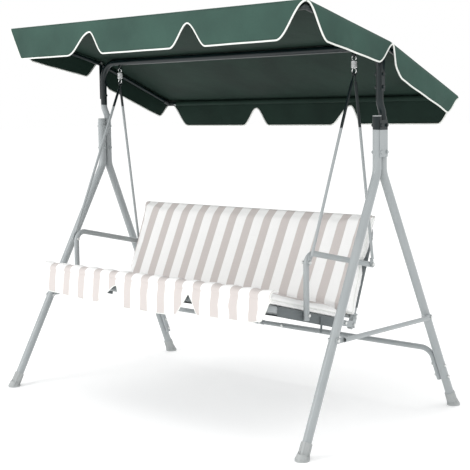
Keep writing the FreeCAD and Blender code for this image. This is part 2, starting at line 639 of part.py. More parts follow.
def build_seat_frame():
    """Side rails, the bent front tube that joins them, and the straight rear tube between them."""
    x, front = dim("rail_half_width"), dim("seat_depth")
    for side, sign_x in sides():
        tube(f"seat_rail_{side}", [on_seat(sign_x * x, -20, 0), on_seat(sign_x * x, front - 54, 0)],
             "rail_diameter", "rail_wall")
    tube("seat_front_tube", [on_seat(-x, front - 53.8, 0), on_seat(-x, front, 0), on_seat(x, front, 0),
                             on_seat(x, front - 53.8, 0)], "rail_diameter", "rail_wall", "rail_bend")
    inner = x - dim("rail_diameter") / 2 - 0.3
    tube("seat_rear_tube", [on_seat(-inner, 0, 0), on_seat(inner, 0, 0)], "rail_diameter", "rail_wall")
    face = x + dim("rail_diameter") / 2
    top = dim("rail_diameter") / 2 + 0.3
    thick = dim("sling_thickness")
    parts = [block("seat_sling_top", (-face - 2.6, -front - 6, top), (face + 2.6, 8, top + thick), SEAT)]
    for side, sign_x in sides():
        low, high = sorted((sign_x * (face + 0.3), sign_x * (face + 2.6)))
        parts.append(block(f"seat_sling_skirt_{side}", (low, -462, -26), (high, -58, top + 1), SEAT))
    keep("seat_sling", fuse("seat_sling", parts))


def build_back_frame(plugs):
    """The backrest's tubes, its sling, and the brackets that hold it to the seat rails.

    The plugs in the tubes' lower ends join the arms' plugs in one node.
    """
    x, foot, joint, top = (dim("back_half_width"), dim("back_tube_foot"), dim("back_joint_height"),
                           dim("back_tube_top"))
    for side, sign_x in sides():
        tube(f"back_tube_{side}", [on_back(sign_x * x, BEHIND, foot), on_back(sign_x * x, BEHIND, joint)],
             "back_tube_diameter", "back_tube_wall")
    path = [on_back(-x, BEHIND, joint + 0.2), on_back(-x, BEHIND, top),
            on_back(x, BEHIND, top), on_back(x, BEHIND, joint + 0.2)]
    tube("back_top_tube", path, "back_tube_diameter", "back_tube_wall", "back_bend")
    inner = x - dim("back_tube_diameter") / 2 - 0.3
    tube("back_bottom_tube", [on_back(-inner, BEHIND, 22), on_back(inner, BEHIND, 22)],
         "back_tube_diameter", "back_tube_wall")
    front = dim("back_cushion_thickness") / 2 + 0.3
    keep("back_sling", block("back_sling", (-x, front, 14), (x, front + 2.8, 452), BACK))
    rail_hole, tube_hole = V(*on_seat(0, 30, 0)), V(*on_back(0, BEHIND, -18))
    rail_end, tube_high = V(*on_seat(0, -2, 0)), V(*on_back(0, BEHIND, 20))
    for side, sign_x in sides():
        near = sign_x * (dim("rail_half_width") + dim("rail_diameter") / 2 + 0.5)
        far = near + sign_x * dim("bracket_thickness")
        name = f"back_bracket_{side}"
        outline = [on_seat(0, 46, -13), on_seat(0, 46, 13), on_seat(0, -14, 12),
                   on_back(0, BEHIND - 12.3, -2), on_back(0, BEHIND - 12, 34),
                   on_back(0, BEHIND + 12, 34), on_back(0, BEHIND + 12, -32),
                   on_back(0, BEHIND - 12, -32)]
        slab(name, [(point[1], point[2]) for point in outline], "YZ_Plane", min(near, far), max(near, far))
        for place in (rail_hole, rail_end):
            bolt("back_bracket_bolts", (far + sign_x * 0.2, place.y, place.z),
                 (sign_x * (dim("rail_half_width") - dim("rail_diameter") / 2 - 0.3), place.y, place.z),
                 [name, f"seat_rail_{side}"])
        for place in (tube_hole, tube_high):
            bolt("back_bracket_bolts", (far + sign_x * 0.2, place.y, place.z),
                 (sign_x * inner, place.y, place.z), [name, f"back_tube_{side}"])
        down = V(*on_back(0, 0, -1)) - V(*on_back(0, 0, 0))
        plugs.append(plug(f"back_plug_{side}", V(*on_back(sign_x * x, BEHIND, foot)), down,
                          dim("back_tube_diameter") / 2, dim("back_tube_wall")))
    group("seat_tube_plugs", plugs)


def build_cushions():
    """Seat and back cushions and the three-panel flap, as plain solids of the right size."""
    half, thick = dim("seat_cushion_half_width"), dim("seat_cushion_thickness")
    low = dim("rail_diameter") / 2 + 0.3 + dim("sling_thickness") + 0.4
    side_view = [on_seat(0, 510, low), on_seat(0, 520, low + 12), on_seat(0, 520, low + thick - 12),
                 on_seat(0, 508, low + thick), on_seat(0, 2, low + thick - 4), on_seat(0, 8, low)]
    slab("seat_cushion", [(point[1], point[2]) for point in side_view], "YZ_Plane", -half, half)
    half, thick = dim("back_cushion_half_width"), dim("back_cushion_thickness") / 2
    height = dim("back_cushion_height")
    side_view = [on_back(0, -thick, 10), on_back(0, -thick, height - 16), on_back(0, -thick + 14, height),
                 on_back(0, thick - 8, height), on_back(0, thick, height - 10), on_back(0, thick, 0),
                 on_back(0, -thick + 12, 0)]
    slab("back_cushion", [(point[1], point[2]) for point in side_view], "YZ_Plane", -half, half)
    top = on_seat(0, 520, low + 22)
    panels = [(218, 483), (238, 520), (245, 575), (262, 520), (292, 482), (640, 492), (708, 520),
              (716, top[2])]
    outline = [(-x, z) for x, z in reversed(panels)] + panels
    start = -top[1] + 3.4
    slab("cushion_flap", outline, "XZ_Plane", start, start + dim("flap_thickness"))


# ---------------------------------------------------------------- assembly
def join_bolts():
    for name, solids in bolt_groups.items():
        group(name, solids)


def drill_holes():
    for label, holes in drillings.items():
        tools = []
        for number, (start, end, hole) in enumerate(holes):
            way = (V(*end) - V(*start)).normalize() * 3
            tools.append(rod(f"{label}_hole_{number}", tuple(V(*start) - way), tuple(V(*end) + way),
                             f"Dims.{hole} / 2"))
        keep(label, cut(f"{label}_drilled", pieces[label], tools))


def export():
    """Label every sub-part with its node name, check it, and write its file."""
    for label, solid in pieces.items():
        for other in doc.Objects:
            if other.Label == label and other is not solid:
                other.Label = f"{label}_blank"
        solid.Label = label
    doc.recompute()
    bad = [thing.Label for thing in doc.Objects if "Invalid" in thing.State or "Error" in thing.State]
    if bad:
        raise RuntimeError(f"failed objects: {bad}")
    os.makedirs("parts", exist_ok=True)
    for label, solid in sorted(pieces.items()):
        if solid.Shape.isNull() or not solid.Shape.isValid():
            raise RuntimeError(f"{label} has no valid shape")
        solid.Shape.exportStep(os.path.join("parts", f"{label}.step"))
        print(f"{label}: {len(solid.Shape.Solids)} solid(s), {solid.Shape.Volume / 1000:.1f} cm3")
    print(len(pieces), "sub-parts")


build_legs()
build_feet()
build_head()
build_crossbar()
build_braces()
build_rear_bar()
build_canopy_frame()
build_canopy_fabric()
build_hangers(build_springs())
arm_plugs = build_arms()
build_seat_frame()
build_back_frame(arm_plugs)
build_cushions()
join_bolts()
drill_holes()
export()
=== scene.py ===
# %% [markdown]
# # A canopy swing bench
# This file dresses a finished steel frame: the tubes, plates and bolts come from the CAD model and stay
# where they are, and the cloth, cushions, springs, feet and every finish are made here. Each step says
# what the thing is on a real swing bench, then makes it. Lengths are metres, X runs across the bench,
# +Y points to its back and +Z up, with the ground at zero.

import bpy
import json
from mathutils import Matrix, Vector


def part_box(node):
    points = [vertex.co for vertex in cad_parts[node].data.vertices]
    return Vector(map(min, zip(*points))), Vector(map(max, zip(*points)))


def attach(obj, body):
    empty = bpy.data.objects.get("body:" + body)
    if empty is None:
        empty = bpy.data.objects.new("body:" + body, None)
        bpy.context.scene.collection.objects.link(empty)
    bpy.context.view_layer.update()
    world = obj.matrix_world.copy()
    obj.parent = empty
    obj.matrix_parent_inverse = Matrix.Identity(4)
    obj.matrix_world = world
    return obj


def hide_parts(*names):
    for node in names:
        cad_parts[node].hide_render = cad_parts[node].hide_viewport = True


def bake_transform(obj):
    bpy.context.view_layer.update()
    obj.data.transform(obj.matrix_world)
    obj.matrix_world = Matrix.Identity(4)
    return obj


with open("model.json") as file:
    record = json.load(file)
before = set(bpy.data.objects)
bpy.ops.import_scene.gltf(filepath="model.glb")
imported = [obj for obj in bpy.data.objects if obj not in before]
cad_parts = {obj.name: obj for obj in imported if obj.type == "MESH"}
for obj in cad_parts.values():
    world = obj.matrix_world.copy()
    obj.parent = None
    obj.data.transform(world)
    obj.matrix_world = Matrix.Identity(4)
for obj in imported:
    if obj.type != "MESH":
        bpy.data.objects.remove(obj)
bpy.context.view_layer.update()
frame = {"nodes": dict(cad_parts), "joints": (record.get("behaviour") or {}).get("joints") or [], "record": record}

import json
import math

import bmesh
import bpy
from mathutils import Matrix, Vector, noise
from mathutils.bvhtree import BVHTree

MM = 0.001

# %% [markdown]
# ## Places that everything else hangs from
# A dressing fits only if it takes its places from the frame. The boxes of a few CAD nodes give the
# roof's edges and the valances' hems, and the tilt joint gives the hinge that the canopy turns on.

# %% Read the places
pivot = Vector(next(joint["pos_m"] for joint in frame["joints"] if joint["name"] == "canopy_tilt"))
roof_low, roof_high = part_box("canopy_roof")
front_valance_low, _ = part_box("front_valance")
rear_valance_low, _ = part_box("rear_valance")
print("pivot", tuple(round(value, 4) for value in pivot), "roof", roof_low, roof_high)

# %% [markdown]
# ## Camera
# Garden furniture is best shown from standing eye height, a few metres off and with a longish lens, so that
# the legs stay nearly upright. The camera is placed by its position, where it looks and a trace of roll,
# and those three turn into one rotation.

# %% Make the camera
CAMERA_PLACE = Vector((3.664, -3.843, 1.364))
YAW, PITCH, ROLL = math.radians(42.953), math.radians(6.289), -0.0147
LENS_MM, SENSOR_MM = 85.8, 36


def camera_axes(yaw, pitch, roll):
    """The camera's right, up and backward directions."""
    forward = Vector((-math.sin(yaw) * math.cos(pitch), math.cos(yaw) * math.cos(pitch), -math.sin(pitch)))
    right = forward.cross(Vector((0, 0, 1))).normalized()
    up = right.cross(forward)
    turned_right = right * math.cos(roll) + up * math.sin(roll)
    turned_up = up * math.cos(roll) - right * math.sin(roll)
    return turned_right, turned_up, -forward


camera_data = bpy.data.cameras.new("camera")
camera_data.lens = LENS_MM
camera_data.sensor_width = SENSOR_MM
camera = bpy.data.objects.new("camera", camera_data)
bpy.context.scene.collection.objects.link(camera)
camera_turn = Matrix(camera_axes(YAW, PITCH, ROLL)).transposed().to_4x4()
camera.matrix_world = Matrix.Translation(CAMERA_PLACE) @ camera_turn
bpy.context.scene.camera = camera

# %% [markdown]
# ## Floor and light
# Plain pale floor, plain soft light. A large white panel above and in front, on the camera's left, is the
# main light, because it shows the front valance brighter than the side one. Weaker panels fill from the
# right and from above, and a white world does what a white cove does in a studio. The floor's paint glows
# faintly, so that the shadow under the bench stays pale.

# %% Helpers for objects and colours
def linear(hex_colour, alpha=1.0):
    """An sRGB hex colour as the linear values that shaders take."""
    values = [int(hex_colour[index:index + 2], 16) / 255 for index in (1, 3, 5)]
    return (*[v / 12.92 if v <= 0.04045 else ((v + 0.055) / 1.055) ** 2.4 for v in values], alpha)


def place_object(name, data):
    piece = bpy.data.objects.new(name, data)
    bpy.context.scene.collection.objects.link(piece)
    return piece


# %% Light the scene
def light_panel(name, place, target, size, watts):
    """A square area light that faces a point."""
    data = bpy.data.lights.new(name, "AREA")
    data.size = size
    data.energy = watts
    lamp = place_object(name, data)
    lamp.location = place
    lamp.rotation_euler = (Vector(target) - Vector(place)).to_track_quat("-Z", "Y").to_euler()


light_panel("key_light", (-1.4, -4.6, 2.9), (0, 0, 0.9), 2.2, 80)
light_panel("fill_light", (4.2, -1.2, 2.6), (0, 0, 0.9), 2.6, 4)
light_panel("top_light", (0.4, 0.6, 4.6), (0, 0, 0.5), 3.0, 30)

world = bpy.data.worlds.new("white_cove")
world.use_nodes = True
world.node_tree.nodes["Background"].inputs["Color"].default_value = linear("#FFFFFF")
world.node_tree.nodes["Background"].inputs["Strength"].default_value = 1.0
bpy.context.scene.world = world
bpy.context.scene.view_settings.view_transform = "Standard"

# %% [markdown]
# ## A helper for materials
# Every finish below is a small graph of nodes. One function adds any node, sets its options, and joins or
# sets its inputs, so a material reads from top to bottom as what is mixed with what. Patterns read Object
# coordinates, which are metres here, so a scale is one over a real spacing.

# %% Material helpers
def new_material(name):
    """A material with an empty Principled shader joined to its output."""
    material = bpy.data.materials.new(name)
    material.use_nodes = True
    return material, material.node_tree.nodes["Principled BSDF"]


def socket(sockets, key):
    """A node's socket by number, or the one of that name that its options leave in use."""
    return sockets[key] if isinstance(key, int) else next(s for s in sockets if s.name == key and s.enabled)


def add_node(material, kind, inputs=None, **settings):
    """Adds a node, sets its options, and joins each input to a socket or gives it a value."""
    node = material.node_tree.nodes.new(kind)
    for name, value in settings.items():
        setattr(node, name, value)
    for key, value in (inputs or {}).items():
        if isinstance(value, bpy.types.NodeSocket):
            material.node_tree.links.new(value, socket(node.inputs, key))
        else:
            socket(node.inputs, key).default_value = value
    return node


def join(material, source, shader, name):
    material.node_tree.links.new(source, shader.inputs[name])


# %% Lay the floor
FLOOR_HALF, FLOOR_GLOW = 80, 0.12
floor_mesh = bmesh.new()
bmesh.ops.create_grid(floor_mesh, x_segments=1, y_segments=1, size=FLOOR_HALF)
floor_data = bpy.data.meshes.new("floor")
floor_mesh.to_mesh(floor_data)
floor_mesh.free()
floor = place_object("floor", floor_data)
floor_paint, floor_shader = new_material("white_cove_paint")
floor_shader.inputs["Base Color"].default_value = linear("#FEFEFE")
floor_shader.inputs["Roughness"].default_value = 1.0
floor_shader.inputs["Specular IOR Level"].default_value = 0.0
floor_shader.inputs["Emission Color"].default_value = linear("#FFFFFF")
floor_shader.inputs["Emission Strength"].default_value = FLOOR_GLOW
floor_data.materials.append(floor_paint)

# %% [markdown]
# ## Powder-coated steel
# The tubes are mild steel, sprayed with polyester powder and baked. That leaves a satin skin about 0.1 mm
# thick with a faint orange peel and a slow drift between two close tones. The colour is pale silver grey
# below a nearly level line and dark slate above it: the line is a plane in the object's own space, so it
# stays put on every tube that crosses it. The real texture is finer than shows from here, so its bumps are
# drawn 3 mm apart.

# %% Powder coat
# The colour is dark above this sloping plane and pale below it.
FADE_HEIGHT = 1.345
FADE_SLOPE = 0.0734
PALE_COAT, PALE_SHADE = "#A9AEAF", "#9AA0A2"
DARK_COAT, DARK_SHADE = "#0F2022", "#081416"
PEEL_PITCH = 3 * MM


def powder_coated_steel():
    material, shader = new_material("powder_coated_steel")
    place = add_node(material, "ShaderNodeTexCoord").outputs["Object"]
    level = add_node(material, "ShaderNodeVectorMath", {0: place, 1: (FADE_SLOPE, 0, 1)},
                     operation="DOT_PRODUCT")
    above = add_node(material, "ShaderNodeMath", {0: level.outputs["Value"], 1: FADE_HEIGHT},
                     operation="GREATER_THAN").outputs[0]
    drift = add_node(material, "ShaderNodeTexNoise", {"Vector": place, "Scale": 9.0, "Detail": 3.0})
    pale, dark = [add_node(material, "ShaderNodeMix", {"Factor": drift.outputs["Fac"], "A": linear(shade),
                                                       "B": linear(coat)}, data_type="RGBA").outputs[2]
                  for coat, shade in ((PALE_COAT, PALE_SHADE), (DARK_COAT, DARK_SHADE))]
    colour = add_node(material, "ShaderNodeMix", {"Factor": above, "A": pale, "B": dark}, data_type="RGBA")
    peel = add_node(material, "ShaderNodeTexNoise", {"Vector": place, "Scale": 1 / PEEL_PITCH, "Detail": 2.0})
    rough = add_node(material, "ShaderNodeMapRange", {"Value": peel.outputs["Fac"], "To Min": 0.26,
                                                      "To Max": 0.38})
    bump = add_node(material, "ShaderNodeBump", {"Height": peel.outputs["Fac"], "Strength": 0.10,
                                                 "Distance": 0.4 * MM})
    join(material, colour.outputs[2], shader, "Base Color")
    join(material, rough.outputs["Result"], shader, "Roughness")
    join(material, bump.outputs["Normal"], shader, "Normal")
    shader.inputs["Specular IOR Level"].default_value = 0.25
    shader.inputs["Coat Weight"].default_value = 0.3
    shader.inputs["Coat Roughness"].default_value = 0.1
    return material


steel_coat = powder_coated_steel()

# %% [markdown]
# ## Zinc plate, spring wire and moulded plastic
# Bolts are zinc plated: a metal with a soft, slightly uneven shine. Springs are drawn wire with bright
# plating, so they take sharper highlights. Caps and plugs are polypropylene from a mould with a fine matt
# texture, pale on the feet and black on the canopy's corners.

# %% Metals
def plated_metal(name, colour, roughness, grain_mm):
    """Bare plated steel: tinted by the plating, with roughness that drifts over a grain."""
    material, shader = new_material(name)
    place = add_node(material, "ShaderNodeTexCoord").outputs["Object"]
    grain = add_node(material, "ShaderNodeTexNoise", {"Vector": place, "Scale": 1 / (grain_mm * MM),
                                                      "Detail": 3.0}).outputs["Fac"]
    rough = add_node(material, "ShaderNodeMapRange", {"Value": grain, "To Min": roughness - 0.06,
                                                      "To Max": roughness + 0.1})
    shade = add_node(material, "ShaderNodeMapRange", {"Value": grain, "To Min": 0.9, "To Max": 1.08})
    tint = add_node(material, "ShaderNodeHueSaturation", {"Color": linear(colour),
                                                          "Value": shade.outputs["Result"]})
    join(material, tint.outputs["Color"], shader, "Base Color")
    join(material, rough.outputs["Result"], shader, "Roughness")
    shader.inputs["Metallic"].default_value = 1.0
    return material


zinc_plate = plated_metal("zinc_plated_steel", "#D9DBDA", 0.34, 4)
spring_wire = plated_metal("bright_plated_spring_wire", "#E6E8E8", 0.2, 2)


# %% Plastics
MOULD_GRAIN = 1.5 * MM


def moulded_plastic(name, colour, shade):
    """Polypropylene from a spark-eroded mould: even colour and a fine matt grain, drawn 1.5 mm coarse."""
    material, shader = new_material(name)
    place = add_node(material, "ShaderNodeTexCoord").outputs["Object"]
    grain = add_node(material, "ShaderNodeTexNoise", {"Vector": place, "Scale": 1 / MOULD_GRAIN,
                                                      "Detail": 2.0})
    drift = add_node(material, "ShaderNodeTexNoise", {"Vector": place, "Scale": 22.0}).outputs["Fac"]
    mix = add_node(material, "ShaderNodeMix", {"Factor": drift, "A": linear(shade), "B": linear(colour)},
                   data_type="RGBA")
    bump = add_node(material, "ShaderNodeBump", {"Height": grain.outputs["Fac"], "Strength": 0.2,
                                                 "Distance": 0.3 * MM})
    join(material, mix.outputs[2], shader, "Base Color")
    join(material, bump.outputs["Normal"], shader, "Normal")
    shader.inputs["Roughness"].default_value = 0.48
    return material


cap_plastic = moulded_plastic("pale_moulded_polypropylene", "#B0B3B3", "#A0A4A4")
black_plastic = moulded_plastic("black_moulded_polypropylene", "#20282A", "#171E20")


# %% Give the carried-over frame its finishes
def finish_nodes(material, nodes):
    for node in nodes:
        piece = frame["nodes"][node]
        piece.data.materials.clear()
        piece.data.materials.append(material)


by_slot = {}
for entry in frame["record"]["subparts"]:
    by_slot.setdefault(entry["material_slot"], []).append(entry["node"])
for slot in ("frame_steel", "crossbar_steel", "canopy_steel", "seat_steel", "bracket_steel"):
    finish_nodes(steel_coat, by_slot[slot])
finish_nodes(zinc_plate, by_slot["zinc_fasteners"])
finish_nodes(cap_plastic, by_slot["cap_plastic"])
finish_nodes(black_plastic, by_slot["elbow_plastic"])
print("finished", sum(len(nodes) for nodes in by_slot.values()), "nodes")

# %% [markdown]
# ## Canopy cloth
# The canopy is woven polyester with a polyurethane coat on its inner side, dyed dark green. Close up it is
# a plain weave of threads about 0.5 mm wide, drawn here 2 mm wide so that it shows. Broad, soft changes of
# tone come from handling creases and from where the cloth is stretched over the tubes.

# %% Woven polyester
WAVE_TURN = math.pi / 10  # a wave texture repeats once in this length at scale 1
THREAD_RELIEF, CREASE_RELIEF = 0.3 * MM, 6 * MM


def lay_weave(material, shader, colour, thread, tones, relief, creases, crease):
    """Lays a plain weave over a colour: two crossed sets of ribs, and shallow creases under them."""
    place = add_node(material, "ShaderNodeTexCoord").outputs["Object"]
    warp, weft = [add_node(material, "ShaderNodeTexWave", {"Vector": place, "Scale": WAVE_TURN / thread},
                           bands_direction=way).outputs["Fac"] for way in ("X", "Z")]
    weave = add_node(material, "ShaderNodeMath", {0: warp, 1: weft}, operation="MULTIPLY").outputs[0]
    tone = add_node(material, "ShaderNodeMapRange", {"Value": weave, "To Min": tones[0], "To Max": tones[1]})
    shaded = add_node(material, "ShaderNodeHueSaturation", {"Color": colour, "Value": tone.outputs["Result"]})
    folds = add_node(material, "ShaderNodeTexNoise", {"Vector": place, **creases})
    fine = add_node(material, "ShaderNodeBump", {"Height": weave, "Strength": relief,
                                                 "Distance": THREAD_RELIEF})
    broad = add_node(material, "ShaderNodeBump", {"Height": folds.outputs["Fac"], "Strength": crease,
                                                  "Distance": CREASE_RELIEF,
                                                  "Normal": fine.outputs["Normal"]})
    join(material, shaded.outputs["Color"], shader, "Base Color")
    join(material, broad.outputs["Normal"], shader, "Normal")


def woven_cloth(name, light_colour, dark_colour, thread_mm, crease, sheen=0.1, shine=0.4):
    """Dyed cloth of one colour, with slow drifts of tone."""
    material, shader = new_material(name)
    place = add_node(material, "ShaderNodeTexCoord").outputs["Object"]
    drift = add_node(material, "ShaderNodeTexNoise", {"Vector": place, "Scale": 4.0, "Detail": 4.0})
    blend = add_node(material, "ShaderNodeMapRange", {"Value": drift.outputs["Fac"], "From Min": 0.3,
                                                      "From Max": 0.7})
    mix = add_node(material, "ShaderNodeMix", {"Factor": blend.outputs["Result"], "A": linear(dark_colour),
                                               "B": linear(light_colour)}, data_type="RGBA")
    lay_weave(material, shader, mix.outputs[2], thread_mm * MM, (0.93, 1.05), 0.25,
              {"Scale": 14.0, "Detail": 5.0, "Distortion": 0.6}, crease)
    shader.inputs["Roughness"].default_value = 0.75
    shader.inputs["Specular IOR Level"].default_value = shine
    shader.inputs["Sheen Weight"].default_value = sheen
    shader.inputs["Sheen Roughness"].default_value = 0.5
    return material


canopy_cloth = woven_cloth("woven_polyester_dark_green", "#37564C", "#2C473F", 2, 0.35, 0.03, 0.3)
canopy_lining = woven_cloth("coated_inner_side_of_the_canopy", "#20342C", "#182822", 2, 0.25, 0.0, 0.15)
binding_cloth = woven_cloth("white_polyester_binding", "#F4F6F2", "#E7EAE5", 2, 0.1)
sling_cloth = woven_cloth("woven_polyester_dark_grey", "#6F7577", "#62696B", 2, 0.15)

# %% [markdown]
# ## The canopy's cut
# The real canopy is one piece of cloth: a roof, and a hanging valance sewn along each of its four edges,
# open at the corners. Each valance's hem is scalloped. A grid makes the roof, and each of its four edges
# is extruded down in steps, every column to its own length, so the hem comes out of the mesh itself. The
# hem is a short list of turning points: a `swept` stretch eases in and out like a sewn scallop, a
# `straight` one doesn't.

# %% Hem lines
ROOF_FRONT_Y, ROOF_REAR_Y = roof_low.y, roof_high.y
ROOF_HALF = roof_high.x
FRONT_Z, REAR_Z = roof_high.z, roof_low.z
FRONT_HEM, REAR_HEM = front_valance_low.z, rear_valance_low.z
RIDGE_Y = pivot.y + 5 * MM
RIDGE_Z = pivot.z + 18 * MM
CORNER_DROP = 4 * MM

# place along the edge, height of the hem, and how the hem reaches it
front_hem = [(-ROOF_HALF, FRONT_Z - CORNER_DROP, "swept"), (-0.859, FRONT_HEM, "straight"),
             (-0.505, FRONT_HEM, "straight"), (-0.335, FRONT_HEM + 0.100, "swept"),
             (-0.250, FRONT_HEM, "swept"), (0.190, FRONT_HEM, "straight"),
             (0.294, FRONT_HEM + 0.100, "swept"), (0.400, FRONT_HEM, "swept"),
             (0.780, FRONT_HEM + 0.003, "straight"), (ROOF_HALF, FRONT_Z - CORNER_DROP, "swept")]
rear_hem = [(-ROOF_HALF, REAR_Z - CORNER_DROP, "swept"), (-0.800, REAR_HEM, "swept"),
            (-0.385, REAR_HEM, "straight"), (-0.287, REAR_HEM + 0.090, "swept"), (-0.200, REAR_HEM, "swept"),
            (0.200, REAR_HEM, "straight"), (0.332, REAR_HEM + 0.094, "swept"),
            (0.395, REAR_HEM + 0.004, "swept"), (0.830, REAR_HEM + 0.004, "straight"),
            (ROOF_HALF, REAR_Z - CORNER_DROP, "swept")]
side_hem = [(ROOF_FRONT_Y, FRONT_Z - 0.006, "swept"), (-0.365, 1.627, "swept"), (-0.289, 1.611, "straight"),
            (-0.030, 1.559, "straight"), (0.068, 1.634, "swept"), (0.092, 1.535, "swept"),
            (0.123, 1.494, "straight"), (0.490, 1.346, "straight"), (ROOF_REAR_Y, REAR_Z - 0.012, "swept")]


def hem_height(hem, place):
    """The hem's height at a place along its edge."""
    for (start, low, _), (end, high, way) in zip(hem, hem[1:]):
        if place <= end:
            share = max(0.0, (place - start) / (end - start))
            if way == "swept":
                share = share * share * (3 - 2 * share)
            return low + (high - low) * share
    return hem[-1][1]


def places_along(hem_lines, coarse, fine):
    """Places for the grid's lines: coarse under straight hems, and fine wherever a hem is swept."""
    places = [hem_lines[0][0][0]]
    last = hem_lines[0][-1][0]
    while places[-1] < last - fine / 2:
        here = places[-1] + fine
        swept = any(start - coarse < here < end + coarse and way == "swept"
                    for hem in hem_lines for (start, _, _), (end, _, way) in zip(hem, hem[1:]))
        places.append(min(places[-1] + (fine if swept else coarse), last))
    places[-1] = last
    return places


across_places = places_along([front_hem, rear_hem], 18 * MM, 8 * MM)
along_places = places_along([side_hem], 14 * MM, 7 * MM)
print(len(across_places), "lines across,", len(along_places), "lines along")

# %% [markdown]
# ## Roof and valances in one sheet
# The roof is stretched from the front tube over the crossbar to the rear tube, and between them its own
# weight lets it sink by about a centimetre. At each edge it turns down over 7 mm and hangs. A valance is
# cloth that nothing stretches, so its lower part waves in and out by a few millimetres, more towards the
# hem and in time with the scallops.

# %% Canopy shape
SAG = 13 * MM
EDGE_TURN, LEAST_DROP = 7 * MM, 3 * MM
VALANCE_STEPS = 9
SIDE_WAVE, LONG_WAVE = 0.31, 0.43


def roof_height(x, y):
    """The stretched roof: two slopes that meet over the crossbar, each a little sunk."""
    if y < RIDGE_Y:
        share, low, high = (y - ROOF_FRONT_Y) / (RIDGE_Y - ROOF_FRONT_Y), FRONT_Z, RIDGE_Z
    else:
        share, low, high = (y - RIDGE_Y) / (ROOF_REAR_Y - RIDGE_Y), RIDGE_Z, REAR_Z
    sink = SAG * math.sin(math.pi * share) * math.cos(math.pi * x / ROOF_HALF / 2)
    ripple = 1.2 * MM * noise.noise(Vector((x * 5, y * 5, 0))) * math.sin(math.pi * share)
    return low + (high - low) * share - sink + ripple


def wave(place, depth, length):
    """How far a hanging edge stands out at a place and depth, from slow folds of different lengths."""
    hang = (depth / 0.13) ** 1.5
    slow = math.sin(place * 2 * math.pi / length) + 0.6 * math.sin(place * 2 * math.pi / length * 2.3 + 1.0)
    return hang * (2.6 * MM * slow + 1.6 * MM * noise.noise(Vector((place * 9, depth * 8, length))))


def make_roof(sheet):
    """Lays a grid over the canopy's frame and returns its four edges as ordered lists of vertices."""
    columns, rows = len(across_places) - 1, len(along_places) - 1
    bmesh.ops.create_grid(sheet, x_segments=columns, y_segments=rows, size=1)
    edges = {"front": {}, "rear": {}, "left": {}, "right": {}}
    for vertex in sheet.verts:
        column = round((vertex.co.x + 1) / 2 * columns)
        row = round((vertex.co.y + 1) / 2 * rows)
        x, y = across_places[column], along_places[row]
        vertex.co = (x, y, roof_height(x, y))
        for side, on_edge, order in (("front", row == 0, column), ("rear", row == rows, column),
                                     ("left", column == 0, row), ("right", column == columns, row)):
            if on_edge:
                edges[side][order] = vertex
    return {side: [found[order] for order in sorted(found)] for side, found in edges.items()}


def extrude_line(sheet, line):
    """Extrudes an ordered line of vertices and returns the new line in the same order."""
    edges = [edge for a, b in zip(line, line[1:]) for edge in a.link_edges if edge.other_vert(a) is b]
    made = bmesh.ops.extrude_edge_only(sheet, edges=edges)["geom"]
    new_verts = [item for item in made if isinstance(item, bmesh.types.BMVert)]
    new_set = set(new_verts)
    partner = {}
    for vertex in new_verts:
        for edge in vertex.link_edges:
            other = edge.other_vert(vertex)
            if other not in new_set:
                partner[other] = vertex
    return [partner[vertex] for vertex in line]


def hang_valance(sheet, line, hem, outward, along_axis):
    """Extrudes one edge of the roof into a valance and returns its hem as points."""
    tops = [vertex.co.copy() for vertex in line]
    wave_length = SIDE_WAVE if outward.x else LONG_WAVE
    for step in range(1, VALANCE_STEPS + 1):
        line = extrude_line(sheet, line)
        for vertex, top in zip(line, tops):
            place = top[along_axis]
            full = max(top.z - hem_height(hem, place), LEAST_DROP)
            depth = full * step / VALANCE_STEPS
            turn = min(1.0, depth / EDGE_TURN)
            out = EDGE_TURN * math.sin(turn * math.pi / 2) * 0.6 + wave(place, depth, wave_length)
            vertex.co = top + outward * out - Vector((0, 0, depth))
    return [vertex.co.copy() for vertex in line]


canopy_mesh = bmesh.new()
roof_edges = make_roof(canopy_mesh)
roof_outline = {side: [vertex.co.copy() for vertex in line] for side, line in roof_edges.items()}
hems = {
    "front": hang_valance(canopy_mesh, roof_edges["front"], front_hem, Vector((0, -1, 0)), 0),
    "rear": hang_valance(canopy_mesh, roof_edges["rear"], rear_hem, Vector((0, 1, 0)), 0),
    "left": hang_valance(canopy_mesh, roof_edges["left"], side_hem, Vector((-1, 0, 0)), 1),
    "right": hang_valance(canopy_mesh, roof_edges["right"], side_hem, Vector((1, 0, 0)), 1),
}
bmesh.ops.recalc_face_normals(canopy_mesh, faces=canopy_mesh.faces)
canopy_mesh.faces.ensure_lookup_table()
if canopy_mesh.faces[0].normal.z < 0:
    bmesh.ops.reverse_faces(canopy_mesh, faces=canopy_mesh.faces)
canopy_area = sum(face.calc_area() for face in canopy_mesh.faces)
print(f"canopy cloth {canopy_area:.2f} m2, {len(canopy_mesh.faces)} faces")


# %% Helpers that turn a mesh into a finished piece
def finish_mesh(name, mesh, material):
    """Writes a bmesh to a new object at the origin, with its material and smooth shading."""
    data = bpy.data.meshes.new(name)
    mesh.to_mesh(data)
    mesh.free()
    data.materials.append(material)
    data.polygons.foreach_set("use_smooth", [True] * len(data.polygons))
    return place_object(name, data)


def thicken(piece, thickness, offset=-1.0):
    """Gives a sheet its thickness."""
    solid = piece.modifiers.new("cloth_thickness", "SOLIDIFY")
    solid.thickness = thickness
    solid.offset = offset
    return piece


# %% Canopy piece
canopy = finish_mesh("canopy_cover", canopy_mesh, canopy_cloth)
canopy.data.materials.append(canopy_lining)
thicken(canopy, 0.9 * MM, 1.0)
canopy.modifiers["cloth_thickness"].material_offset = 1
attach(canopy, "canopy")
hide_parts("canopy_roof", "front_valance", "rear_valance", "left_valance", "right_valance")

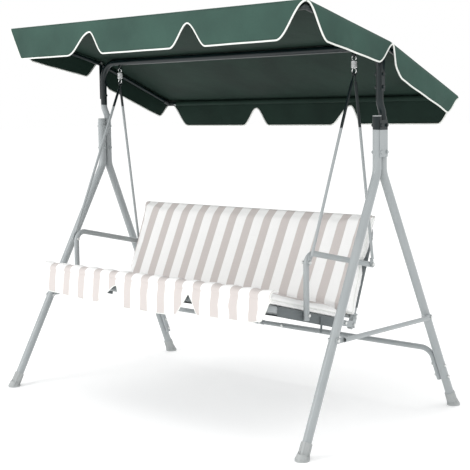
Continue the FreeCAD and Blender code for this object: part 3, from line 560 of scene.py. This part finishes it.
# %% [markdown]
# ## White hem binding
# The hems are bound with a white polyester tape about 7 mm wide, folded over the raw edge. A curve through
# the hem's own points with a small round bevel follows every scallop exactly, and turning it into a mesh
# makes it a piece like the others. A thin green seam cord of the same kind marks where each valance is
# sewn to the roof.


# %% Sweep a round cord along points
def swept_cord(name, lines, radius, material, sides=3):
    """A round cord along each list of points, as one mesh piece."""
    curve = bpy.data.curves.new(name, "CURVE")
    curve.dimensions = "3D"
    curve.bevel_depth = radius
    curve.bevel_resolution = sides
    curve.use_fill_caps = True
    for points in lines:
        spline = curve.splines.new("POLY")
        spline.points.add(len(points) - 1)
        for point, place in zip(spline.points, points):
            point.co = (*place, 1)
    source = place_object(f"{name}_path", curve)
    bpy.context.view_layer.update()
    data = bpy.data.meshes.new_from_object(source.evaluated_get(bpy.context.evaluated_depsgraph_get()))
    data.name = name
    data.materials.clear()
    data.materials.append(material)
    data.polygons.foreach_set("use_smooth", [True] * len(data.polygons))
    bpy.data.objects.remove(source)
    return place_object(name, data)


# %% [markdown]
# ## Sleeve round the rear tube
# The roof is held at its back by a pocket: a strip of the same cloth sewn under the roof and wrapped round
# the rear tube between its two elbows. It is a grid rolled once round the tube, a little loose.


# %% Grid of given places
def lay_grid(mesh, across, along, place_at):
    """Lays a grid whose lines run through given places, and returns its points by row and column."""
    columns, rows = len(across) - 1, len(along) - 1
    bmesh.ops.create_grid(mesh, x_segments=columns, y_segments=rows, size=1)
    points = [[None] * (columns + 1) for _ in range(rows + 1)]
    for vertex in mesh.verts:
        points[round((vertex.co.y + 1) / 2 * rows)][round((vertex.co.x + 1) / 2 * columns)] = vertex
    for row, line in zip(along, points):
        for column, vertex in zip(across, line):
            vertex.co = place_at(column, row)
    return points


def evenly(start, end, parts):
    """Places from start to end in equal parts."""
    return [start + (end - start) * number / parts for number in range(parts + 1)]


# %% Sleeve
SLEEVE_HALF, SLEEVE_RADIUS = 0.852, 12.2 * MM
rear_tube_low, rear_tube_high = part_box("canopy_rear_tube")
rear_tube_centre = (rear_tube_low + rear_tube_high) / 2


def round_rear_tube(x, turn):
    """A point of the sleeve at a turn round the tube, loose by up to a millimetre."""
    loose = SLEEVE_RADIUS + 0.7 * MM * noise.noise(Vector((x * 30, math.cos(turn) * 2, math.sin(turn) * 2)))
    centre = rear_tube_centre
    return Vector((x, centre.y + loose * math.cos(turn), centre.z + loose * math.sin(turn)))


sleeve_mesh = bmesh.new()
lay_grid(sleeve_mesh, evenly(-SLEEVE_HALF, SLEEVE_HALF, 100), evenly(0, math.tau, 20), round_rear_tube)
bmesh.ops.remove_doubles(sleeve_mesh, verts=sleeve_mesh.verts, dist=0.1 * MM)
bmesh.ops.recalc_face_normals(sleeve_mesh, faces=sleeve_mesh.faces)
sleeve = thicken(finish_mesh("rear_sleeve", sleeve_mesh, canopy_lining), 0.9 * MM, 0.0)

# %% Binding and seams
binding = swept_cord("hem_binding", list(hems.values()), 3.6 * MM, binding_cloth)
seams = swept_cord("roof_seams", list(roof_outline.values()), 1.6 * MM, canopy_cloth, sides=2)
for piece in (binding, seams, sleeve):
    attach(piece, "canopy")

# %% [markdown]
# ## Ribs on the foot caps
# Each foot cap is stiffened by ribs that run down its sleeve and out over its base. They are short cords
# laid round the leg's own line, which leans in from the foot to the knee of the leg.

# %% Foot cap ribs
FOOT_PLACE, KNEE_PLACE = Vector((0.9405, 0.55, 0)), Vector((0.8855, 0.0192, 1.1))
APEX_BACK, RIBS, RIB_RADIUS = 0.046, 10, 1.8 * MM
RIM_REACH, RIM_HEIGHT = 27.8 * MM, 9.5 * MM
rib_on_sleeve = [(72 * MM, 20.6 * MM), (68 * MM, 21.9 * MM), (32 * MM, 22.1 * MM)]


def rib_lines():
    """Every rib of the four caps, from the sleeve's mouth down to the base."""
    lines = []
    for side in (-1, 1):
        for end in (-1, 1):
            foot = Vector((side * FOOT_PLACE.x, end * FOOT_PLACE.y, 0))
            knee = Vector((side * KNEE_PLACE.x, APEX_BACK + end * KNEE_PLACE.y, KNEE_PLACE.z))
            up = (knee - foot).normalized()
            across = up.cross(Vector((0, 0, 1))).normalized()
            for number in range(RIBS):
                turn = math.tau * number / RIBS
                out = across * math.cos(turn) + up.cross(across) * math.sin(turn)
                level = Vector((out.x, out.y, 0)).normalized()
                rim = foot + level * RIM_REACH + Vector((0, 0, RIM_HEIGHT))
                lines.append([foot + up * height + out * reach for height, reach in rib_on_sleeve] + [rim])
    return lines


ribs = swept_cord("foot_cap_ribs", rib_lines(), RIB_RADIUS, cap_plastic, sides=2)
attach(ribs, "frame")

# %% [markdown]
# ## The seat's and the backrest's own directions
# The seat slopes down to its back by about 15 degrees and the backrest leans by about 21, so a cushion is
# easiest to shape in its own directions: across, forward and above for the seat, and across, behind and
# up for the backrest. Two small functions turn those into the bench's X, Y and Z.

# %% Seat and backrest directions
SEAT_SLOPE = math.radians(15.14)
BACK_LEAN = math.radians(21.13)
SEAT_REAR_Z = 0.441
BACK_FOOT_Y, BACK_FOOT_Z = 0.030, 0.455
RAIL_RADIUS, RAIL_X = 0.014, 0.716
BACK_TUBE_X, BACK_TUBE_BEHIND = 0.7175, 0.041
SEAT_DEPTH, BACK_TUBE_TOP = 0.500, 0.446


def on_seat(across, forward, above):
    return Vector((across, -forward * math.cos(SEAT_SLOPE) + above * math.sin(SEAT_SLOPE),
                   SEAT_REAR_Z + forward * math.sin(SEAT_SLOPE) + above * math.cos(SEAT_SLOPE)))


def on_back(across, behind, up):
    return Vector((across, BACK_FOOT_Y + behind * math.cos(BACK_LEAN) + up * math.sin(BACK_LEAN),
                   BACK_FOOT_Z - behind * math.sin(BACK_LEAN) + up * math.cos(BACK_LEAN)))


# %% [markdown]
# ## Seat sling and back sling
# Under the cushions the bench has two slings of dark grey polyester. Each is stretched between its tubes,
# goes round them and is sewn back on itself; the seat's sides hang on as a skirt that shows as a dark band
# along the rail. A grid makes the stretched part, and each edge is extruded step by step round its tube.

# %% Roll an edge round a tube
SLING_THICKNESS = 1.2 * MM
QUARTER, HALF_TURN = math.pi / 2, math.pi


def roll_edge(mesh, line, steps, place_at):
    """Extrudes an ordered line of a sheet once for each step; place_at says where each point goes."""
    for step in steps:
        line = extrude_line(mesh, line)
        for number, vertex in enumerate(line):
            vertex.co = place_at(number, *step)


def round_corner(x, along, centre_x, centre_along, radius):
    """Keeps a point inside a bent tube's corner."""
    offset = Vector((abs(x) - centre_x, along - centre_along))
    if min(offset) > 0 and offset.length > radius:
        offset *= radius / offset.length
        return math.copysign(centre_x + offset.x, x), centre_along + offset.y
    return x, along


def finish_sling(name, mesh, node, flat):
    """Turns a sling's mesh into a sheet that rides on the seat."""
    bmesh.ops.recalc_face_normals(mesh, faces=mesh.faces)
    area = sum(face.calc_area() for face in mesh.faces)
    piece = thicken(finish_mesh(name, mesh, sling_cloth), SLING_THICKNESS, 0.0)
    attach(piece, "seat")
    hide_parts(node)
    print(f"{name}: {flat[0]:.3f} x {flat[1]:.3f} m, {area:.2f} m2")


# %% Seat sling
SEAT_WRAP = 15.6 * MM
FRONT_BEND, SKIRT_DROP, TAIL = 0.042, 28 * MM, 20 * MM
SEAT_SAG = 12 * MM
seat_columns = evenly(-RAIL_X, RAIL_X, 48)
seat_rows = [0.0, 0.020, 0.040] + evenly(0.058, 0.462, 16) + [0.482, SEAT_DEPTH]


def seat_sheet(x, forward):
    """A point of the seat's stretched cloth, sunk in the middle and kept inside the front tube's corners."""
    sink = SEAT_SAG * (1 - (x / RAIL_X) ** 2) * math.sin(math.pi * forward / SEAT_DEPTH)
    x, forward = round_corner(x, forward, RAIL_X - FRONT_BEND, SEAT_DEPTH - FRONT_BEND, FRONT_BEND)
    return on_seat(x, forward, SEAT_WRAP - sink)


seat_mesh = bmesh.new()
seat_points = lay_grid(seat_mesh, seat_columns, seat_rows, seat_sheet)
wrap_columns = seat_columns[2:-2]
for forward, out, row in ((0.0, -1, 0), (SEAT_DEPTH, 1, -1)):
    roll = [(forward + out * SEAT_WRAP * math.sin(turn), SEAT_WRAP * math.cos(turn))
            for turn in evenly(0, HALF_TURN, 10)[1:]] + [(forward - out * TAIL, -SEAT_WRAP)]
    roll_edge(seat_mesh, seat_points[row][2:-2], roll,
              lambda number, place, above: on_seat(wrap_columns[number], place, above))
skirt_rows = seat_rows[3:-2]
for side, column in ((-1, 0), (1, -1)):
    roll = [(RAIL_X + SEAT_WRAP * math.sin(turn), SEAT_WRAP * math.cos(turn))
            for turn in evenly(0, QUARTER, 6)[1:]] + [(RAIL_X + SEAT_WRAP, -SKIRT_DROP / 2),
                                                      (RAIL_X + SEAT_WRAP, -SKIRT_DROP)]
    roll_edge(seat_mesh, [line[column] for line in seat_points[3:-2]], roll,
              lambda number, out, above: on_seat(side * out, skirt_rows[number], above))
finish_sling("seat_sling_cloth", seat_mesh, "seat_sling",
             (2 * (RAIL_X + QUARTER * SEAT_WRAP + SKIRT_DROP),
              SEAT_DEPTH + 2 * (HALF_TURN * SEAT_WRAP + TAIL)))

# %% Back sling
BACK_WRAP = 13.4 * MM
BACK_BEND, BACK_BOTTOM, BACK_SAG = 0.060, 0.022, 7 * MM
back_columns = evenly(-BACK_TUBE_X, BACK_TUBE_X, 48)
back_rows = [BACK_BOTTOM, 0.040] + evenly(0.060, 0.380, 13) + [0.402, 0.424, BACK_TUBE_TOP]


def back_sheet(x, up):
    """A point of the backrest's stretched cloth, pushed back a little in the middle."""
    share = (up - BACK_BOTTOM) / (BACK_TUBE_TOP - BACK_BOTTOM)
    sink = BACK_SAG * (1 - (x / BACK_TUBE_X) ** 2) * math.sin(math.pi * share)
    x, up = round_corner(x, up, BACK_TUBE_X - BACK_BEND, BACK_TUBE_TOP - BACK_BEND, BACK_BEND)
    return on_back(x, BACK_TUBE_BEHIND - BACK_WRAP + sink, up)


back_mesh = bmesh.new()
back_points = lay_grid(back_mesh, back_columns, back_rows, back_sheet)
wrap_columns = back_columns[2:-2]
for level, out, row in ((BACK_BOTTOM, -1, 0), (BACK_TUBE_TOP, 1, -1)):
    roll = [(BACK_TUBE_BEHIND - BACK_WRAP * math.cos(turn), level + out * BACK_WRAP * math.sin(turn))
            for turn in evenly(0, HALF_TURN, 10)[1:]] + [(BACK_TUBE_BEHIND + BACK_WRAP, level - out * TAIL)]
    roll_edge(back_mesh, back_points[row][2:-2], roll,
              lambda number, behind, up: on_back(wrap_columns[number], behind, up))
side_rows = back_rows[2:-3]
for side, column in ((-1, 0), (1, -1)):
    roll = [(BACK_TUBE_X + BACK_WRAP * math.sin(turn), BACK_TUBE_BEHIND - BACK_WRAP * math.cos(turn))
            for turn in evenly(0, HALF_TURN, 10)[1:]] + [(BACK_TUBE_X - TAIL, BACK_TUBE_BEHIND + BACK_WRAP)]
    roll_edge(back_mesh, [line[column] for line in back_points[2:-3]], roll,
              lambda number, out, behind: on_back(side * out, behind, side_rows[number]))
finish_sling("back_sling_cloth", back_mesh, "back_sling",
             (2 * (BACK_TUBE_X + HALF_TURN * BACK_WRAP + TAIL),
              BACK_TUBE_TOP - BACK_BOTTOM + 2 * (HALF_TURN * BACK_WRAP + TAIL)))

# %% [markdown]
# ## Springs
# Each side of the seat hangs on a tension spring: one length of 4.6 mm wire that starts as a loop through
# the crossbar's eye, spirals out into six close coils and ends in a second loop that carries the two
# hangers. The wire is one path from loop to loop, swept with a round section. The coils stretch when the
# seat sinks.

# %% Spring wire
WIRE_RADIUS, COIL_RADIUS, LOOP_RADIUS = 2.3 * MM, 11.6 * MM, 11 * MM
COIL_TOP, COIL_END, COIL_TURNS = 1.5733, 1.5413, 6
STEPS_A_TURN = 28


def spring_path(x, y):
    """The wire's centre line: upper loop, spiral out, coils, spiral in, lower loop."""
    loop = [math.radians(turn) for turn in range(-55, 271, 13)]
    top_centre, low_centre = COIL_TOP + LOOP_RADIUS, COIL_END - LOOP_RADIUS
    path = [Vector((x + LOOP_RADIUS * math.cos(turn), y, top_centre + LOOP_RADIUS * math.sin(turn)))
            for turn in loop]
    steps = (COIL_TURNS + 1) * STEPS_A_TURN
    for step in range(1, steps):
        turn = math.tau * step / STEPS_A_TURN
        spread = min(1.0, step / STEPS_A_TURN * 2, (steps - step) / STEPS_A_TURN * 2)
        radius = COIL_RADIUS * math.sin(spread * QUARTER)
        path.append(Vector((x + radius * math.cos(turn), y + radius * math.sin(turn),
                            COIL_TOP + (COIL_END - COIL_TOP) * step / steps)))
    path += [Vector((x - LOOP_RADIUS * math.cos(turn), y, low_centre - LOOP_RADIUS * math.sin(turn)))
             for turn in reversed(loop)]
    return path


for side in ("left", "right"):
    low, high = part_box(f"spring_{side}")
    centre = (low + high) / 2
    spring = swept_cord(f"coil_spring_{side}", [spring_path(centre.x, centre.y)], WIRE_RADIUS, spring_wire)
    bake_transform(spring)
    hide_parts(f"spring_{side}")

# %% [markdown]
# ## Striped cushion cloth
# The cushions are woven polyester, white with taupe stripes about 50 mm wide every 112 mm. The stripes are
# woven in, so they follow the cloth wherever it bulges. Each piece therefore carries an attribute,
# `stripe`, that counts stripes across the cloth as it was before it was shaped, and the material reads
# that instead of a place in space.

# %% Stripes
STRIPE_PITCH = 0.1115
TAUPE_SHARE, STRIPE_EDGE = 0.45, 0.012


def mark_stripes(data, first, lean=0.0, level=0.0):
    """Stores on every point how many stripes it lies from the middle one, before the cloth is shaped."""
    layer = data.attributes.new("stripe", "FLOAT", "POINT")
    layer.data.foreach_set("value", [(vertex.co.x - first - lean * (vertex.co.z - level)) / STRIPE_PITCH
                                     for vertex in data.vertices])


def striped_cloth():
    """White cloth with taupe stripes where the stripe count is near a whole number."""
    material, shader = new_material("striped_woven_polyester")
    count = add_node(material, "ShaderNodeAttribute", attribute_name="stripe").outputs["Fac"]
    shifted = add_node(material, "ShaderNodeMath", {0: count, 1: 0.5}, operation="ADD").outputs[0]
    part = add_node(material, "ShaderNodeMath", {0: shifted, 1: 1.0, 2: 0.0}, operation="WRAP").outputs[0]
    centred = add_node(material, "ShaderNodeMath", {0: part, 1: 0.5}, operation="SUBTRACT").outputs[0]
    apart = add_node(material, "ShaderNodeMath", {0: centred}, operation="ABSOLUTE").outputs[0]
    edge = add_node(material, "ShaderNodeMapRange", {"Value": apart,
                                                     "From Min": TAUPE_SHARE / 2 - STRIPE_EDGE,
                                                     "From Max": TAUPE_SHARE / 2 + STRIPE_EDGE})
    stripes = add_node(material, "ShaderNodeMix", {"Factor": edge.outputs["Result"], "A": linear("#CFC8C5"),
                                                   "B": linear("#F9F9F8")}, data_type="RGBA")
    lay_weave(material, shader, stripes.outputs[2], 1.5 * MM, (0.97, 1.01), 0.2,
              {"Scale": 16.0, "Detail": 4.0, "Distortion": 0.8}, 0.3)
    shader.inputs["Roughness"].default_value = 0.85
    shader.inputs["Sheen Weight"].default_value = 0.1
    return material


cushion_cloth = striped_cloth()

# %% [markdown]
# ## Cushions, blown up like cushions
# Each cushion is a fibre-filled cover: crowned in the middle, drawn in along its sewn edge, flat where it
# lies on the sling. It starts as a thin slab with rounded edges, is remeshed into even faces, and a cloth
# simulation fills it with air for twenty frames. How far a point may move is capped, less on the side that
# rests on the sling. The piping is laid on the filled cover afterwards, because remeshing would rub it out.

# %% Slab and remesh
def slab_between(corner_at, low, high, bevel):
    """A box in a cushion's own directions with rounded edges, as a bmesh."""
    mesh = bmesh.new()
    bmesh.ops.create_cube(mesh, size=1)
    for vertex in mesh.verts:
        share = [value + 0.5 for value in vertex.co]
        vertex.co = Vector([a + (b - a) * part for a, b, part in zip(low, high, share)])
    bmesh.ops.bevel(mesh, geom=mesh.edges[:], offset=bevel, affect="EDGES", segments=3, profile=0.5,
                    material=-1)
    for vertex in mesh.verts:
        vertex.co = corner_at(*vertex.co)
    bmesh.ops.recalc_face_normals(mesh, faces=mesh.faces)
    return mesh


def evaluated_copy(piece):
    bpy.context.view_layer.update()
    return bpy.data.meshes.new_from_object(piece.evaluated_get(bpy.context.evaluated_depsgraph_get()))


def remesh_evenly(piece, voxel):
    """Replaces the piece's mesh by one of even faces."""
    modifier = piece.modifiers.new("even_faces", "REMESH")
    modifier.mode = "VOXEL"
    modifier.voxel_size = voxel
    data = evaluated_copy(piece)
    piece.modifiers.clear()
    piece.data = data


# %% Fill with air
AIR_PRESSURE, AIR_FRAMES = 4.0, 20
EVEN_FACE = 9 * MM


def fill_with_air(piece, cap_at):
    """Blows the piece up as cloth, lets each point move only as far as its cap, and keeps the result."""
    before = [vertex.co.copy() for vertex in piece.data.vertices]
    cloth = piece.modifiers.new("air", "CLOTH")
    cloth.settings.quality = 4
    cloth.settings.mass = 0.25
    cloth.settings.use_pressure = True
    cloth.settings.uniform_pressure_force = AIR_PRESSURE
    cloth.settings.tension_stiffness = 12
    cloth.settings.bending_stiffness = 0.4
    cloth.settings.effector_weights.gravity = 0
    for number in range(1, AIR_FRAMES + 1):
        bpy.context.scene.frame_set(number)
    after = evaluated_copy(piece)
    piece.modifiers.clear()
    bpy.context.scene.frame_set(1)
    furthest = 0.0
    for vertex, old, new in zip(piece.data.vertices, before, after.vertices):
        move = new.co - old
        cap = cap_at(old)
        if move.length > cap:
            move = move.normalized() * cap
        vertex.co = old + move
        furthest = max(furthest, move.length)
    bpy.data.meshes.remove(after)
    print(f"{piece.name}: {len(before)} points, moved up to {furthest * 1000:.0f} mm")


def make_cushion(name, corner_at, low, high, bevel, first, lean, level, cap_at):
    """A cushion from its slab: remeshed, marked with stripes and filled with air."""
    piece = finish_mesh(name, slab_between(corner_at, low, high, bevel), cushion_cloth)
    remesh_evenly(piece, EVEN_FACE)
    mark_stripes(piece.data, first, lean, level)
    fill_with_air(piece, cap_at)
    return piece


def piping_round(name, piece, rim, centre):
    """White piping on a cushion's sewn edge: each point of the rim is moved on to the filled cover."""
    data = piece.data
    cover = BVHTree.FromPolygons([vertex.co for vertex in data.vertices],
                                 [list(face.vertices) for face in data.polygons])
    line = []
    for place in rim:
        inward = (centre(place) - place).normalized()
        hit = cover.ray_cast(place - inward * 0.08, inward)[0]
        line.append(hit if hit else place)
    cord = swept_cord(name, [line + line[:1]], PIPING_RADIUS, binding_cloth)
    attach(cord, "seat")


def rounded_rim(low, high, corner, place_at, step=0.012):
    """The points of a rounded rectangle in a cushion's own two directions."""
    (low_x, low_y), (high_x, high_y) = low, high
    rim = []
    for x, y, start in ((high_x - corner, high_y - corner, 0.0), (low_x + corner, high_y - corner, QUARTER),
                        (low_x + corner, low_y + corner, HALF_TURN),
                        (high_x - corner, low_y + corner, 3 * QUARTER)):
        rim += [(x + corner * math.cos(turn), y + corner * math.sin(turn))
                for turn in evenly(start, start + QUARTER, 6)]
    points = []
    for start, end in zip(rim, rim[1:] + rim[:1]):
        parts = max(1, round((Vector(end) - Vector(start)).length / step))
        points += [place_at(*Vector(start).lerp(Vector(end), number / parts)) for number in range(parts)]
    return points


def finish_cushion(piece, node):
    piece.data.polygons.foreach_set("use_smooth", [True] * len(piece.data.polygons))
    smooth = piece.modifiers.new("smooth", "SUBSURF")
    smooth.levels = smooth.render_levels = 1
    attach(piece, "seat")
    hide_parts(node)


# %% Back cushion
PIPING_RADIUS, RIM_CORNER = 2.4 * MM, 0.030
TOWARDS_MIDDLE = 0.4  # how far a rim point's inward direction leans to the cushion's middle
BACK_LOW, BACK_BEVEL = 0.010, 12 * MM
BACK_HALF, BACK_HEIGHT = 0.748, 0.490
BACK_FRONT, BACK_REAR = -0.012, 0.0235
ARM_UP, ARM_SPREAD, ARM_GAP = 0.257, 0.036, 0.722


def back_place(place):
    """A point's distance behind and up in the backrest's own directions."""
    y, z = place.y - BACK_FOOT_Y, place.z - BACK_FOOT_Z
    return (y * math.cos(BACK_LEAN) - z * math.sin(BACK_LEAN),
            y * math.sin(BACK_LEAN) + z * math.cos(BACK_LEAN))


def back_cap(place):
    """How far a point of the back cushion may swell: freely to the front, and hardly to the sling."""
    return 2 * MM if back_place(place)[0] > BACK_REAR - 6 * MM else 18 * MM


def squeeze_between_arms(piece):
    """Draws the cushion's ends in where the arms pass them."""
    for vertex in piece.data.vertices:
        beyond = abs(vertex.co.x) - ARM_GAP
        if beyond > 0:
            near = math.exp(-((back_place(vertex.co)[1] - ARM_UP) / ARM_SPREAD) ** 2)
            vertex.co.x -= math.copysign(beyond * near, vertex.co.x)


back_cushion = make_cushion("back_cushion_cover", on_back, (-BACK_HALF, BACK_FRONT, BACK_LOW),
                            (BACK_HALF, BACK_REAR, BACK_HEIGHT), BACK_BEVEL, 0.012, 0.085, BACK_FOOT_Z,
                            back_cap)
squeeze_between_arms(back_cushion)
back_middle = (BACK_FRONT + BACK_REAR) / 2
back_rim = rounded_rim((-BACK_HALF, BACK_LOW), (BACK_HALF, BACK_HEIGHT), RIM_CORNER,
                       lambda x, up: on_back(x, back_middle, up))
piping_round("back_cushion_piping", back_cushion, back_rim,
             lambda place: on_back(place.x * 0.8, back_middle, (1 - TOWARDS_MIDDLE) * back_place(place)[1]
                                   + TOWARDS_MIDDLE * BACK_HEIGHT / 2))
finish_cushion(back_cushion, "back_cushion")

# %% Seat cushion
SEAT_LOW = RAIL_RADIUS + 3.7 * MM
SEAT_HALF, SEAT_BACK, SEAT_FRONT, SEAT_THICK = 0.722, 0.016, 0.500, 0.036
SEAT_BEVEL = 13 * MM


def seat_place(place):
    """A point's distance forward and above in the seat's own directions."""
    y, z = place.y, place.z - SEAT_REAR_Z
    return (-y * math.cos(SEAT_SLOPE) + z * math.sin(SEAT_SLOPE),
            y * math.sin(SEAT_SLOPE) + z * math.cos(SEAT_SLOPE))


def seat_cap(place):
    """How far a point of the seat cushion may swell: freely upwards, and hardly into the sling."""
    return 0.5 * MM if seat_place(place)[1] < SEAT_LOW + 5 * MM else 15 * MM


seat_cushion = make_cushion("seat_cushion_cover", on_seat, (-SEAT_HALF, SEAT_BACK, SEAT_LOW),
                            (SEAT_HALF, SEAT_FRONT, SEAT_LOW + SEAT_THICK), SEAT_BEVEL, -0.002, 0.0, 0.0,
                            seat_cap)
seat_middle = SEAT_LOW + SEAT_THICK / 2
seat_rim = rounded_rim((-SEAT_HALF, SEAT_BACK), (SEAT_HALF, SEAT_FRONT), RIM_CORNER,
                       lambda x, forward: on_seat(x, forward, seat_middle))
piping_round("seat_cushion_piping", seat_cushion, seat_rim,
             lambda place: on_seat(place.x * 0.8, (1 - TOWARDS_MIDDLE) * seat_place(place)[0]
                                   + TOWARDS_MIDDLE * SEAT_FRONT / 2, seat_middle))
finish_cushion(seat_cushion, "seat_cushion")

# %% [markdown]
# ## Cushion tie
# The seat cushion is tied to the frame with dark grey tapes 10 mm wide. One loose end hangs beside the rail
# on the right, clear of the sling.

# %% Tie
TIE_X, TIE_Y, TIE_TOP, TIE_END, TIE_WIDTH = 0.7375, -0.170, 0.497, 0.426, 10 * MM


def tie_point(across, down):
    """A point of the hanging tape: it leans forward and twists a little on its way down."""
    drop = (TIE_TOP - down) / (TIE_TOP - TIE_END)
    turn = 0.5 * drop
    return Vector((TIE_X + across * math.sin(turn) + 3 * MM * drop,
                   TIE_Y + across * math.cos(turn) - 7 * MM * drop * drop, down))


tie_mesh = bmesh.new()
lay_grid(tie_mesh, evenly(-TIE_WIDTH / 2, TIE_WIDTH / 2, 3), evenly(TIE_END, TIE_TOP, 14), tie_point)
bmesh.ops.recalc_face_normals(tie_mesh, faces=tie_mesh.faces)
tie = thicken(finish_mesh("cushion_tie", tie_mesh, sling_cloth), 0.8 * MM, 0.0)
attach(tie, "seat")

# %% [markdown]
# ## Flap
# A thin striped flap is sewn along the cushion's front roll and hangs over the front tube in three panels
# with white bound edges. It is soft, so its folds lean to and fro and carry the stripes with them. It is
# made like a valance: a grid along a line that turns over the roll and drops, every column cut to its own
# hem.

# %% Flap line and hem
FLAP_HALF = 0.742
FOLD_LENGTH = 0.223
flap_hem = [(-FLAP_HALF, 0.560, "straight"), (-0.690, 0.511, "swept"), (-0.450, 0.497, "straight"),
            (-0.332, 0.492, "straight"), (-0.189, 0.582, "swept"), (-0.149, 0.485, "straight"),
            (0.100, 0.486, "straight"), (0.201, 0.489, "straight"), (0.279, 0.590, "straight"),
            (0.334, 0.503, "straight"), (0.640, 0.510, "straight"), (0.695, 0.519, "swept"),
            (FLAP_HALF, 0.600, "swept")]
flap_line = [(-0.452, 0.6395), (-0.474, 0.6425), (-0.490, 0.638), (-0.500, 0.628), (-0.502, 0.619),
             (-0.497, 0.611), (-0.501, 0.602), (-0.505, 0.560), (-0.508, 0.475)]


def along_line(line, height_share):
    """A point of the flap's side view: a share of the way along it, by length."""
    points = [Vector(point) for point in line]
    lengths = [(b - a).length for a, b in zip(points, points[1:])]
    left = sum(lengths) * height_share
    for start, end, length in zip(points, points[1:], lengths):
        if left <= length:
            return start.lerp(end, left / length)
        left -= length
    return points[-1]


def share_at_height(line, height):
    """The share of the line's length at which it has come down to a height."""
    low, high = 0.3, 1.0
    for _ in range(24):
        middle = (low + high) / 2
        low, high = (middle, high) if along_line(line, middle).y > height else (low, middle)
    return high


def fold_of(x, z, hang):
    """How far the flap stands out and slips sideways in its soft folds."""
    wobble = 5.0 * MM * noise.noise(Vector((x * 7, z * 5, 3)))
    out = wobble + 3.0 * MM * math.sin(x * 2 * math.pi / FOLD_LENGTH + 0.8)
    slip = 9.0 * MM * noise.noise(Vector((x * 6, z * 22, 9)))
    return Vector((slip * hang, -abs(out) * hang - 2 * MM * hang, 0))


# %% Make the flap
flap_places = places_along([flap_hem], 12 * MM, 6 * MM)
FLAP_ROWS = 26
FLAP_BREAK, FLAP_EASE = 0.632, 0.09  # the height where the flap starts to hang, and over how much
FLAP_STRIPE_PITCH, FLAP_SHIFT = 0.109, 0.002
flap_mesh = bmesh.new()
bmesh.ops.create_grid(flap_mesh, x_segments=len(flap_places) - 1, y_segments=FLAP_ROWS, size=1)
flap_hem_line = {}
flap_stripes = {}
for vertex in flap_mesh.verts:
    column = round((vertex.co.x + 1) / 2 * (len(flap_places) - 1))
    row = round((1 - vertex.co.y) / 2 * FLAP_ROWS)
    x = flap_places[column]
    place = along_line(flap_line, share_at_height(flap_line, hem_height(flap_hem, x)) * row / FLAP_ROWS)
    hang = min(1.0, max(0.0, (FLAP_BREAK - place.y) / FLAP_EASE))
    puff = 2.5 * MM * math.cos(2 * math.pi * ((x + FLAP_SHIFT) / STRIPE_PITCH + 0.5)) * (1 - hang)
    vertex.co = Vector((x, place.x, place.y + puff)) + fold_of(x, place.y, hang)
    flap_stripes[vertex.index] = (x + FLAP_SHIFT) / FLAP_STRIPE_PITCH
    if row == FLAP_ROWS:
        flap_hem_line[column] = vertex.co.copy()
    elif column in (0, len(flap_places) - 1):
        flap_hem_line[(-1 - row) if column == 0 else len(flap_places) + FLAP_ROWS - row] = vertex.co.copy()
bmesh.ops.recalc_face_normals(flap_mesh, faces=flap_mesh.faces)
flap_area = sum(face.calc_area() for face in flap_mesh.faces)
flap = finish_mesh("front_flap", flap_mesh, cushion_cloth)
layer = flap.data.attributes.new("stripe", "FLOAT", "POINT")
layer.data.foreach_set("value", [flap_stripes[index] for index in range(len(flap.data.vertices))])
thicken(flap, 3 * MM, 0.0)
flap_binding = swept_cord("flap_binding", [[flap_hem_line[key] for key in sorted(flap_hem_line)]], 2.6 * MM,
                          binding_cloth)
for piece in (flap, flap_binding):
    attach(piece, "seat")
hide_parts("cushion_flap")
print(f"flap {flap_area:.2f} m2")
